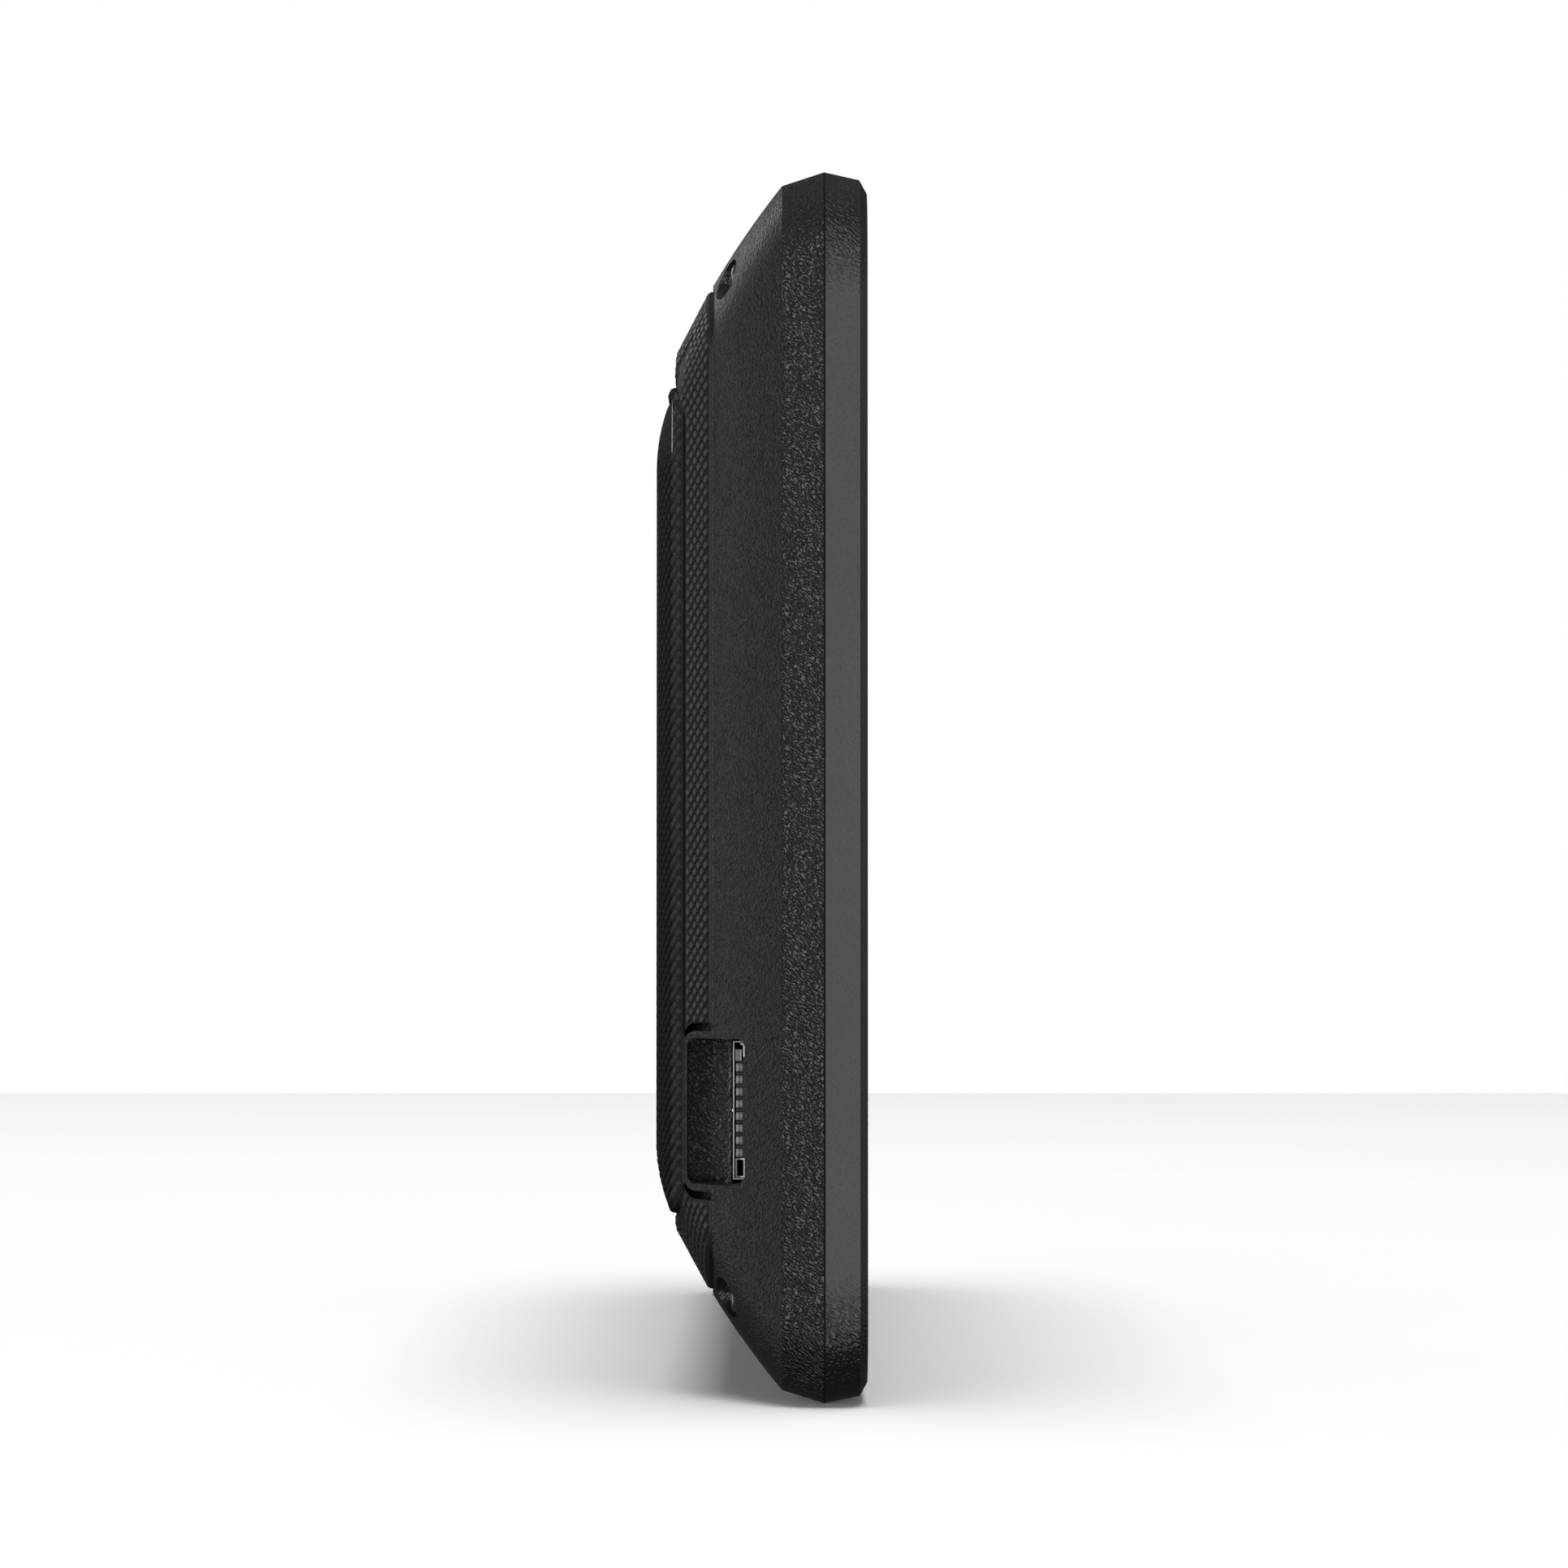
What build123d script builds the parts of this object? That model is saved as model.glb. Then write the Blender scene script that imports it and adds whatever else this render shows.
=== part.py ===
"""Handheld landscape GPS unit.

Every piece is its own solid: glass, bezel, display stack, frame, boards, battery, card socket,
housing, grip cover and pad, dock plate, key and fasteners.

Frame: +Z up, +X to the right as seen from the front, the screen looks along -Y.  The origin is
the centre of the unit's box.  Depths are counted backwards from the front face.  An inset is
how far an outline lies inside the parting ridge, which is the widest line of the unit.
"""
from build123d import *
import os

# ---- driving dimensions, mm ----------------------------------------------------------------------
WIDTH = 178.0
HEIGHT = 110.0
DEPTH = 19.2
CORNER_R = 6.4

FACE_INSET = 1.71          # front face inside the ridge
BEVEL_DEPTH = 0.69
BEVEL_INSET = 0.62
RIDGE_DEPTH = 3.84         # parting line between bezel and rear housing
BAND_DEPTH = 7.61          # crease between rear band and slope
BAND_INSET = 1.09
SLOPE_DEPTH = 13.79
SLOPE_INSET = 9.0
SLOPE_BULGE = 0.3          # the slope bows out this much half way
PLATEAU_STEP = 0.06
WALL = 1.7

GLASS_INSET = 2.4
GLASS_THICK = 1.1
GASKET_THICK = 0.2
GASKET_WIDTH = 2.0
RIB_INSET = 2.1            # bezel rib that centres the rear housing
RIB_REACH = 0.76
WINDOW_INSET = 5.0         # opening of the bezel round the display
SEAL_INSET = 0.7
SEAL_WIDTH = 0.6
SEAL_DEPTH = 0.5

LCD_THICK = 1.4
TRAY_THICK = 2.1
TRAY_CLEAR = 0.25
FRAME_THICK = 1.0
FRAME_INSET = 3.0
FRAME_SCREW_INSET = 4.0

BATTERY_GAP = 0.2
BATTERY_CLEAR = 0.6        # from battery to board
BATTERY_W = 96.0
BATTERY_Z_INSET = 25.0
BATTERY_X = 4.0
BATTERY_Z = -2.0
BOARD_GAP = 4.2            # from mid frame to board
BOARD_THICK = 1.0
BOARD_Z_INSET = 11.0
STANDOFF_X_INSET = 19.0
STANDOFF_Z_INSET = 16.0
STANDOFF_R = 2.6
BOARD_SCREW_R = 0.9

SCREW_X_INSET = 9.2        # four corner screws
SCREW_Z_INSET = 9.25
SCREW_HEAD_R = 1.5
SCREW_HEAD_H = 1.2
SCREW_SHANK_R = 0.9
SCREW_SEAT_DEPTH = 10.97
POCKET_R = 1.8
BOSS_R = 3.0
INSERT_R = 1.6

CORE_DEPTH = 15.8          # raised middle of the rear housing under the cover
CORE_INSET = 11.6
CORE_TOP_INSET = 14.6
CORE_ROOF = 1.4
CORE_WALL = 2.9

COVER_FLANGE = 0.32        # plain strip along the cover's foot
COVER_SLIT = 0.12          # fine slit between that strip and the chamfer
COVER_SLIT_REACH = 0.25
COVER_INSET = 9.6
COVER_CHAMFER_DEPTH = 17.14
COVER_CHAMFER_INSET = 14.4
COVER_TOP_DEPTH = 17.36
COVER_TOP_INSET = 15.0
COVER_CLEAR = 0.2

PAD_SEAT_DEPTH = 16.6
PAD_TOP_INSET = 18.1
PAD_BOTTOM_INSET = 16.3
PAD_INSET = 13.7           # pad's side edge, on the cover's chamfer
PAD_SHOULDER_DEPTH = 17.64
PAD_ROLL = 7.0             # length of the rounded edge
PAD_CORNER_R = 4.0
PAD_CLEAR = 0.15

BADGE_W = 7.0
BADGE_H = 5.0
BADGE_MARGIN_X = 0.4       # from the pad's left shoulder
BADGE_MARGIN_Z = 1.4       # from the pad's top edge
BADGE_THICK = 1.2
BADGE_R = 1.0

DOCK_R = 22.8
DOCK_THICK = 1.4
DOCK_CLEAR = 0.2
CONTACT_BLOCK_W = 20.0
CONTACT_BLOCK_H = 5.2
CONTACT_R = 0.8
CONTACT_PITCH = 2.4
CONTACT_COUNT = 7

PORT_LIFT = 25.85          # centre of the side recesses, above the lower edge
PORT_H = 13.1
PORT_DEPTH_FROM = 10.93
PORT_DEPTH_TO = 16.2
PORT_R = 0.75
TONGUE_MARGIN = 0.65       # rim of housing round the recess
TONGUE_GAP = 0.75          # gap between rim and cover
TONGUE_BACK = 0.28
NOTCH_R = 1.1
MOUTH_X_INSET = 13.4       # where sockets open, from the ridge
CARD_FLOOR_X_INSET = 20.0  # bottom of the finger recess
USB_FLOOR_X_INSET = 14.6

CARD_W = 12.5
CARD_L = 15.0
CARD_H = 1.25
CARD_SHEET = 0.12
CARD_LIP = 0.3
CARD_PINS = 8
CARD_PIN_PITCH = 1.1
CARD_TRAVEL = 0.9

USB_W = 8.94
USB_H = 3.2
USB_L = 7.4
USB_WALL = 0.3

SPEAKER_X = 48.0
SPEAKER_Z = -18.0
SPEAKER_R = 7.6
SPEAKER_H = 3.2
GRILLE_HOLE_R = 0.65
GRILLE_PITCH = 2.4

KEY_X = 60.0
KEY_W = 12.0
KEY_T = 1.8
KEY_DEPTH = 5.72           # centre of the power key on the top band
KEY_CLEAR = 0.15
KEY_SUNK = 0.12
KEY_TRAVEL = 0.35

FIT = 0.1                  # general clearance between pieces that are placed together

# ---- worked out ----------------------------------------------------------------------------------
HALF_W = WIDTH / 2
HALF_H = HEIGHT / 2
GLASS_BACK = GLASS_THICK
SHELF_DEPTH = GLASS_BACK + GASKET_THICK
LCD_BACK = GLASS_BACK + LCD_THICK
TRAY_BACK = LCD_BACK + TRAY_THICK
RIB_DEPTH = RIDGE_DEPTH + RIB_REACH
FRAME_FRONT = max(RIB_DEPTH, TRAY_BACK)
FRAME_BACK = FRAME_FRONT + FRAME_THICK
BOARD_FRONT = FRAME_BACK + BOARD_GAP
BOARD_BACK = BOARD_FRONT + BOARD_THICK
SCREW_X = HALF_W - SCREW_X_INSET
SCREW_Z = HALF_H - SCREW_Z_INSET
CORE_CEILING = CORE_DEPTH - CORE_ROOF
PLATEAU_DEPTH = SLOPE_DEPTH + PLATEAU_STEP
FLANGE_DEPTH = PLATEAU_DEPTH + COVER_FLANGE
COVER_EDGE_DEPTH = FLANGE_DEPTH + COVER_SLIT
BATTERY_THICK = BOARD_GAP - BATTERY_GAP - BATTERY_CLEAR
BATTERY_H = HEIGHT - 2 * BATTERY_Z_INSET
BOARD_H = HEIGHT - 2 * BOARD_Z_INSET
STANDOFF_X = HALF_W - STANDOFF_X_INSET
STANDOFF_Z = HALF_H - STANDOFF_Z_INSET
PAD_Z_TOP = HALF_H - PAD_TOP_INSET
PAD_Z_BOTTOM = PAD_BOTTOM_INSET - HALF_H
PORT_Z = PORT_LIFT - HALF_H
CARD_BACK = BOARD_BACK + CARD_H
MOUTH_X = HALF_W - MOUTH_X_INSET
BOARD_W = 2 * (MOUTH_X + FIT)      # the sockets' mouths lie just inside the board's edges

os.makedirs("parts", exist_ok=True)


# ---- helpers -------------------------------------------------------------------------------------
def level(depth):
    """Plane parallel to the screen, at a depth behind the front face."""
    return Plane.XZ.offset(DEPTH / 2 - depth)


def y_at(depth):
    return depth - DEPTH / 2


def layers(outlines, radius, ruled=True):
    """Solid through rounded rectangles, given as (depth, inset) pairs."""
    with BuildPart() as body:
        for depth, inset in outlines:
            with BuildSketch(level(depth)):
                RectangleRounded(2 * (HALF_W - inset), 2 * (HALF_H - inset), radius)
        loft(ruled=ruled)
    return body.part


def slab(width, height, depth_from, depth_to, radius=0.0, x=0.0, z=0.0):
    """Flat block parallel to the screen, centred on x and z."""
    with BuildPart() as body:
        with BuildSketch(level(depth_from)):
            with Locations((x, z)):
                if radius > 0:
                    RectangleRounded(width, height, radius)
                else:
                    Rectangle(width, height)
        extrude(amount=depth_from - depth_to)
    return body.part


def inset_slab(inset, depth_from, depth_to, radius):
    return slab(WIDTH - 2 * inset, HEIGHT - 2 * inset, depth_from, depth_to, radius)


def rods(places, radius, depth_from, depth_to):
    """Round rods along the depth, at a list of (x, z) places."""
    with BuildPart() as body:
        with BuildSketch(level(depth_from)):
            with Locations(*places):
                Circle(radius)
        extrude(amount=depth_from - depth_to)
    return body.part


def box_between(x_from, x_to, z_from, z_to, depth_from, depth_to, radius=0.0):
    return slab(
        abs(x_to - x_from), abs(z_to - z_from), depth_from, depth_to, radius,
        (x_from + x_to) / 2, (z_from + z_to) / 2,
    )


def side_pocket(x_from, x_to, height, depth_from, depth_to, radius):
    """Pocket that runs in from a side, rounded as seen from that side."""
    with BuildPart() as body:
        with BuildSketch(Plane.YZ.offset(min(x_from, x_to))):
            with Locations(((y_at(depth_from) + y_at(depth_to)) / 2, PORT_Z)):
                RectangleRounded(depth_to - depth_from, height, radius)
        extrude(amount=abs(x_to - x_from))
    return body.part


def corners(x, z):
    return [(sx * x, sz * z) for sx in (-1, 1) for sz in (-1, 1)]


def save(piece, name):
    piece.part.label = name
    export_step(piece.part, "parts/" + name + ".step")


# ---- places that several pieces share ------------------------------------------------------------
corner_screws = corners(SCREW_X, SCREW_Z)
board_screws_at = corners(STANDOFF_X, STANDOFF_Z)

rim_x = HALF_W - FRAME_SCREW_INSET
rim_z = HALF_H - FRAME_SCREW_INSET
frame_screws_at = [(x, side * rim_z) for x in (-60, -20, 20, 40) for side in (-1, 1)]
frame_screws_at += [(side * rim_x, z) for z in (-24, 24) for side in (-1, 1)]

contact_span = CONTACT_PITCH * (CONTACT_COUNT - 1)
contacts_at = [(i * CONTACT_PITCH - contact_span / 2, 0) for i in range(CONTACT_COUNT)]

grille_at = []
for ring, count in ((0, 1), (1, 6), (2, 12)):
    for spoke in range(count):
        spot = Vector(ring * GRILLE_PITCH, 0).rotate(Axis.Z, 360 / count * spoke)
        grille_at.append((SPEAKER_X + spot.X, SPEAKER_Z + spot.Y))

# ---- front bezel, glass and display --------------------------------------------------------------
bezel_outline = [(0, FACE_INSET), (BEVEL_DEPTH, BEVEL_INSET), (RIDGE_DEPTH, 0)]
bezel_body = layers(bezel_outline, CORNER_R)
rib_body = inset_slab(RIB_INSET, RIDGE_DEPTH, RIB_DEPTH, CORNER_R - 1.6)
window = inset_slab(WINDOW_INSET, 0, RIB_DEPTH, 2.0)
glass_seat = inset_slab(GLASS_INSET - FIT, 0, SHELF_DEPTH, CORNER_R - 2.0)
seal_outer = inset_slab(SEAL_INSET, RIDGE_DEPTH - SEAL_DEPTH, RIDGE_DEPTH, CORNER_R - 0.7)
seal_inner = inset_slab(SEAL_INSET + SEAL_WIDTH, RIDGE_DEPTH - SEAL_DEPTH, RIDGE_DEPTH, CORNER_R - 1.3)
frame_screw_holes = rods(frame_screws_at, 0.6, RIB_DEPTH - 2.2, RIB_DEPTH)

with BuildPart() as housing_gasket:
    add(seal_outer)
    add(seal_inner, mode=Mode.SUBTRACT)
save(housing_gasket, "housing_gasket")

with BuildPart() as front_bezel:
    add(bezel_body)
    add(rib_body)
    add(glass_seat, mode=Mode.SUBTRACT)
    add(window, mode=Mode.SUBTRACT)
    add(housing_gasket.part, mode=Mode.SUBTRACT)
    add(frame_screw_holes, mode=Mode.SUBTRACT)
save(front_bezel, "front_bezel")

with BuildPart() as cover_glass:
    add(inset_slab(GLASS_INSET, 0, GLASS_BACK, CORNER_R - 2.1))
    front_rim = cover_glass.faces().sort_by(Axis.Y)[0].edges()
    chamfer(front_rim, 0.15)
save(cover_glass, "cover_glass")

with BuildPart() as display_gasket:
    add(inset_slab(GLASS_INSET + 0.2, GLASS_BACK, SHELF_DEPTH, CORNER_R - 2.2))
    add(inset_slab(GLASS_INSET + 0.2 + GASKET_WIDTH, GLASS_BACK, SHELF_DEPTH, 2.4), mode=Mode.SUBTRACT)
save(display_gasket, "display_gasket")

with BuildPart() as lcd_panel:
    add(inset_slab(WINDOW_INSET + 2 * TRAY_CLEAR, GLASS_BACK, LCD_BACK, 0.8))
save(lcd_panel, "lcd_panel")

with BuildPart() as backlight_tray:
    add(inset_slab(WINDOW_INSET + TRAY_CLEAR, LCD_BACK, TRAY_BACK, 1.2))
    with BuildSketch(level(TRAY_BACK)):
        with GridLocations(50, 30, 3, 3):
            RectangleRounded(34, 16, 2)
    extrude(amount=0.15, mode=Mode.SUBTRACT)
save(backlight_tray, "backlight_tray")

# ---- mid frame: carries the display, the board and the corner screws -----------------------------
key_notch = box_between(KEY_X - 9, KEY_X + 9, HALF_H - 7.2, HALF_H, FRAME_FRONT - 1, FRAME_BACK + 1)
flex_notch = box_between(-67, -55, -HALF_H, -HALF_H + 9.6, FRAME_FRONT - 1, FRAME_BACK + 1)
frame_bosses = rods(corner_screws, INSERT_R + 0.9, FRAME_BACK, SCREW_SEAT_DEPTH - 1.8)
frame_boss_bores = rods(corner_screws, INSERT_R, FRAME_BACK, SCREW_SEAT_DEPTH - 1.8)
standoffs = rods(board_screws_at, STANDOFF_R, FRAME_BACK, BOARD_FRONT)
standoff_bores = rods(board_screws_at, BOARD_SCREW_R + 0.02, FRAME_BACK + 0.4, BOARD_FRONT)

with BuildPart() as mid_frame:
    add(inset_slab(FRAME_INSET, FRAME_FRONT, FRAME_BACK, CORNER_R - 2.4))
    add(key_notch, mode=Mode.SUBTRACT)
    add(flex_notch, mode=Mode.SUBTRACT)
    add(frame_bosses)
    add(standoffs)
    add(frame_boss_bores, mode=Mode.SUBTRACT)
    add(standoff_bores, mode=Mode.SUBTRACT)
    add(rods(frame_screws_at, 0.8, FRAME_FRONT, FRAME_BACK), mode=Mode.SUBTRACT)
save(mid_frame, "mid_frame")

with BuildPart() as thread_inserts:
    add(rods(corner_screws, INSERT_R, FRAME_BACK, SCREW_SEAT_DEPTH - 1.8))
    add(rods(corner_screws, SCREW_SHANK_R + 0.05, FRAME_BACK, SCREW_SEAT_DEPTH - 1.8), mode=Mode.SUBTRACT)
save(thread_inserts, "thread_inserts")

with BuildPart() as frame_screws:
    add(rods(frame_screws_at, 1.05, FRAME_BACK, FRAME_BACK + 0.5))
    add(rods(frame_screws_at, 0.55, FRAME_BACK - 3.0, FRAME_BACK))
save(frame_screws, "frame_screws")

# ---- battery -------------------------------------------------------------------------------------
battery_front = FRAME_BACK + BATTERY_GAP
battery_back = battery_front + BATTERY_THICK
with BuildPart() as battery_pack:
    add(slab(BATTERY_W, BATTERY_H, battery_front, battery_back, 3.0, BATTERY_X, BATTERY_Z))
    fillet(battery_pack.faces().filter_by(Axis.Y).edges().filter_by(GeomType.LINE), 0.8)
save(battery_pack, "battery_pack")

with BuildPart() as battery_pads:
    for x in (BATTERY_X - 32, BATTERY_X, BATTERY_X + 32):
        add(slab(14, BATTERY_H - 16, FRAME_BACK, battery_front, 0.5, x, BATTERY_Z))
save(battery_pads, "battery_pads")

battery_top = BATTERY_Z + BATTERY_H / 2
with BuildPart() as battery_flex:
    add(box_between(-12, -2, battery_top, battery_top + 6, battery_back - 1.2, battery_back - 1.0))
    add(box_between(-12, -2, battery_top + 5.8, battery_top + 6, battery_back - 1.2, BOARD_FRONT))
save(battery_flex, "battery_flex")

# ---- main board and what stands on it ------------------------------------------------------------
with BuildPart() as main_board:
    add(slab(BOARD_W, BOARD_H, BOARD_FRONT, BOARD_BACK, 1.5))
    add(rods(board_screws_at, BOARD_SCREW_R + 0.1, BOARD_FRONT, BOARD_BACK), mode=Mode.SUBTRACT)
save(main_board, "main_board")

with BuildPart() as board_screws:
    add(rods(board_screws_at, 1.7, BOARD_BACK, BOARD_BACK + 0.9))
    add(rods(board_screws_at, BOARD_SCREW_R, BOARD_FRONT - 3.0, BOARD_BACK))
save(board_screws, "board_screws")


def shield_can(width, height, tall, x, z):
    """Thin metal can over a group of chips, open towards the board."""
    with BuildPart() as can:
        add(slab(width, height, BOARD_BACK, BOARD_BACK + tall, 0.5, x, z))
        add(slab(width - 0.4, height - 0.4, BOARD_BACK, BOARD_BACK + tall - 0.2, 0.3, x, z), mode=Mode.SUBTRACT)
    return can


chips_z = HALF_H - 31.0
PROCESSOR_AT = (-30.0, chips_z)
RADIO_AT = (18.0, chips_z)
SHIELD_H = 1.6
processor_shield = shield_can(34, 16, SHIELD_H, *PROCESSOR_AT)
save(processor_shield, "processor_shield")
radio_shield = shield_can(20, 14, SHIELD_H, *RADIO_AT)
save(radio_shield, "radio_shield")

with BuildPart() as board_chips:
    add(slab(13, 13, BOARD_BACK, BOARD_BACK + 1.0, 0, PROCESSOR_AT[0] - 8, PROCESSOR_AT[1]))
    add(slab(10, 12, BOARD_BACK, BOARD_BACK + 0.9, 0, PROCESSOR_AT[0] + 7, PROCESSOR_AT[1]))
    add(slab(7, 7, BOARD_BACK, BOARD_BACK + 0.9, 0, RADIO_AT[0] - 4, RADIO_AT[1]))
    add(slab(5, 6, BOARD_BACK, BOARD_BACK + 0.8, 0, RADIO_AT[0] + 5, RADIO_AT[1]))
    add(slab(9, 7, BOARD_BACK, BOARD_BACK + 1.1, 0, -46, -4))
    add(slab(6, 6, BOARD_BACK, BOARD_BACK + 1.0, 0, -34, -18))
save(board_chips, "board_chips")

with BuildPart() as thermal_pad:
    add(slab(24, 12, BOARD_BACK + SHIELD_H, CORE_CEILING, 0.5, *PROCESSOR_AT))
save(thermal_pad, "thermal_pad")

ANTENNA_AT = (48.0, HALF_H - 33.0)
ANTENNA_SIDE = 18.0
ANTENNA_H = 3.0
with BuildPart() as gps_antenna:
    add(slab(ANTENNA_SIDE, ANTENNA_SIDE, BOARD_BACK, BOARD_BACK + ANTENNA_H, 0, *ANTENNA_AT))
    chamfer(gps_antenna.edges().filter_by(Axis.Y), 0.6)
save(gps_antenna, "gps_antenna")

with BuildPart() as antenna_patch:
    antenna_back = BOARD_BACK + ANTENNA_H
    add(slab(14, 14, antenna_back, antenna_back + 0.05, 0, *ANTENNA_AT))
    chamfer(antenna_patch.edges().filter_by(Axis.Y).sort_by(Axis.X)[0], 1.5)
save(antenna_patch, "antenna_patch")

MICROPHONE_AT = (-58.0, HALF_H - 25.0)
with BuildPart() as microphone:
    add(slab(3.5, 2.65, BOARD_BACK, BOARD_BACK + 1.0, 0, *MICROPHONE_AT))
    add(rods([MICROPHONE_AT], 0.25, BOARD_BACK + 0.6, BOARD_BACK + 1.0), mode=Mode.SUBTRACT)
save(microphone, "microphone")

flex_z = 9.0 - HALF_H
with BuildPart() as display_flex:
    add(box_between(-66, -56, flex_z - 0.2, flex_z, FRAME_FRONT + 0.1, BOARD_FRONT))
    add(box_between(-66, -56, flex_z - 0.2, flex_z + 4.0, BOARD_FRONT - 0.2, BOARD_FRONT))
save(display_flex, "display_flex")

# ---- speaker -------------------------------------------------------------------------------------
speaker_at = [(SPEAKER_X, SPEAKER_Z)]
speaker_back = BOARD_BACK + SPEAKER_H
CONE_R = SPEAKER_R - 1.6
CONE_SWING = 0.25
with BuildPart() as speaker_frame:
    add(rods(speaker_at, SPEAKER_R, BOARD_BACK, speaker_back))
    add(rods(speaker_at, SPEAKER_R - 1.2, BOARD_BACK + 0.4, speaker_back), mode=Mode.SUBTRACT)
save(speaker_frame, "speaker_frame")

with BuildPart() as speaker_magnet:
    add(rods(speaker_at, 4.2, BOARD_BACK + 0.4, BOARD_BACK + 1.6))
save(speaker_magnet, "speaker_magnet")

with BuildPart() as speaker_cone:
    cone_mid = speaker_back - 0.55
    add(rods(speaker_at, CONE_R, cone_mid - 0.1, cone_mid + 0.1))
    with BuildSketch(level(cone_mid - 0.1)):
        with Locations(*speaker_at):
            Circle(2.6)
            Circle(2.3, mode=Mode.SUBTRACT)
    extrude(amount=0.45)
save(speaker_cone, "speaker_cone")

with BuildPart() as speaker_gasket:
    add(rods(speaker_at, SPEAKER_R, speaker_back, CORE_CEILING))
    add(rods(speaker_at, SPEAKER_R - 1.2, speaker_back, CORE_CEILING), mode=Mode.SUBTRACT)
save(speaker_gasket, "speaker_gasket")

# ---- rear housing --------------------------------------------------------------------------------
middle_depth = (BAND_DEPTH + SLOPE_DEPTH) / 2
middle_inset = (BAND_INSET + SLOPE_INSET) / 2 - SLOPE_BULGE
band_body = layers([(RIDGE_DEPTH, 0), (BAND_DEPTH, BAND_INSET)], CORNER_R)
slope_outline = [(BAND_DEPTH, BAND_INSET), (middle_depth, middle_inset), (SLOPE_DEPTH, SLOPE_INSET)]
slope_body = layers(slope_outline, CORNER_R, ruled=False)
plateau_body = inset_slab(SLOPE_INSET, SLOPE_DEPTH, PLATEAU_DEPTH, CORNER_R)
core_body = layers([(PLATEAU_DEPTH, CORE_INSET), (CORE_DEPTH, CORE_TOP_INSET)], 5.0)

slope_rate = (SLOPE_INSET - BAND_INSET) / (SLOPE_DEPTH - BAND_DEPTH)
wall_inset = WALL * (1 + slope_rate ** 2) ** 0.5
knee_depth = BAND_DEPTH - 0.6
hollow_back = PLATEAU_DEPTH - WALL
knee_inset = BAND_INSET + wall_inset + slope_rate * (knee_depth - BAND_DEPTH)
hollow_inset = BAND_INSET + wall_inset + slope_rate * (hollow_back - BAND_DEPTH)
lip_inset = RIB_INSET - 0.05
hollow_outline = [(RIDGE_DEPTH, lip_inset), (RIB_DEPTH + FIT, lip_inset), (knee_depth, knee_inset)]
hollow_front = layers(hollow_outline, CORNER_R - 1.6)
hollow_slope = layers([(knee_depth, knee_inset), (hollow_back, hollow_inset)], CORNER_R - 1.6)
core_hollow = inset_slab(CORE_TOP_INSET + CORE_WALL, hollow_back, CORE_CEILING, 3.0)

tongue_height = PORT_H + 2 * TONGUE_MARGIN
tongue_depth = PORT_DEPTH_TO + TONGUE_BACK
cover_rate = (COVER_CHAMFER_INSET - COVER_INSET) / (COVER_CHAMFER_DEPTH - COVER_EDGE_DEPTH)
tongue_shape_front = COVER_INSET - 0.5
tongue_shape_back = tongue_shape_front + cover_rate * (tongue_depth - PLATEAU_DEPTH)
tongue_hull = layers([(PLATEAU_DEPTH, tongue_shape_front), (tongue_depth, tongue_shape_back)], CORNER_R)


def tongue(side, inner_inset):
    """Block of housing that carries a side recess, trimmed to the housing's own outline."""
    outer_x = side * (HALF_W - tongue_shape_front)
    inner_x = side * (HALF_W - inner_inset)
    with BuildPart() as block:
        add(side_pocket(outer_x, inner_x, tongue_height, hollow_back, tongue_depth, PORT_R + TONGUE_MARGIN / 2))
        add(box_between(outer_x, inner_x, PORT_Z - tongue_height / 2, PORT_Z + tongue_height / 2,
                        hollow_back, PLATEAU_DEPTH))
    with BuildPart() as trimmed:
        add(block.part)
        add(tongue_hull_and_below, mode=Mode.INTERSECT)
    return trimmed.part


with BuildPart() as tongue_envelope:
    add(tongue_hull)
    add(inset_slab(SLOPE_INSET, hollow_back, PLATEAU_DEPTH, CORNER_R))
tongue_hull_and_below = tongue_envelope.part

port_low = PORT_Z - tongue_height / 2
port_high = PORT_Z + tongue_height / 2
card_tongue = tongue(-1, CARD_FLOOR_X_INSET + 1.0)
usb_tongue_block = tongue(1, USB_FLOOR_X_INSET + 3.0)
card_cheek = box_between(-HALF_W + SLOPE_INSET - 4, -MOUTH_X - 0.3, port_low, port_high,
                         BOARD_FRONT, hollow_back)
usb_cheek = box_between(MOUTH_X + 0.3, HALF_W - SLOPE_INSET + 4, port_low, port_high,
                        BOARD_FRONT, hollow_back)
with BuildPart() as cheeks:
    add(card_cheek)
    add(usb_cheek)
cheek_trim = layers([(BAND_DEPTH, BAND_INSET + 1.0), (SLOPE_DEPTH, SLOPE_INSET + 1.0)], CORNER_R)

shelf_depth = CARD_BACK + 0.15 + CARD_LIP
card_mouth = side_pocket(-HALF_W - 1, -MOUTH_X + 0.05, PORT_H, PORT_DEPTH_FROM, PORT_DEPTH_TO, PORT_R)
card_finger = side_pocket(-HALF_W - 1, -HALF_W + CARD_FLOOR_X_INSET, PORT_H, shelf_depth,
                          PORT_DEPTH_TO, PORT_R)
card_slot = box_between(-MOUTH_X - 0.5, -MOUTH_X + CARD_L + 1, PORT_Z - CARD_W / 2 - 0.15,
                        PORT_Z + CARD_W / 2 + 0.15, BOARD_BACK, CARD_BACK + 0.15)
usb_floor_x = HALF_W - USB_FLOOR_X_INSET
usb_mouth = side_pocket(usb_floor_x, HALF_W + 1, PORT_H, PORT_DEPTH_FROM, PORT_DEPTH_TO, PORT_R)
usb_mid_depth = BOARD_BACK + 0.1 + USB_H / 2
usb_hole = box_between(usb_floor_x - 4, usb_floor_x + 0.5, PORT_Z - USB_W / 2 - 0.15,
                       PORT_Z + USB_W / 2 + 0.15, BOARD_BACK, BOARD_BACK + USB_H + 0.25)

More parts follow.
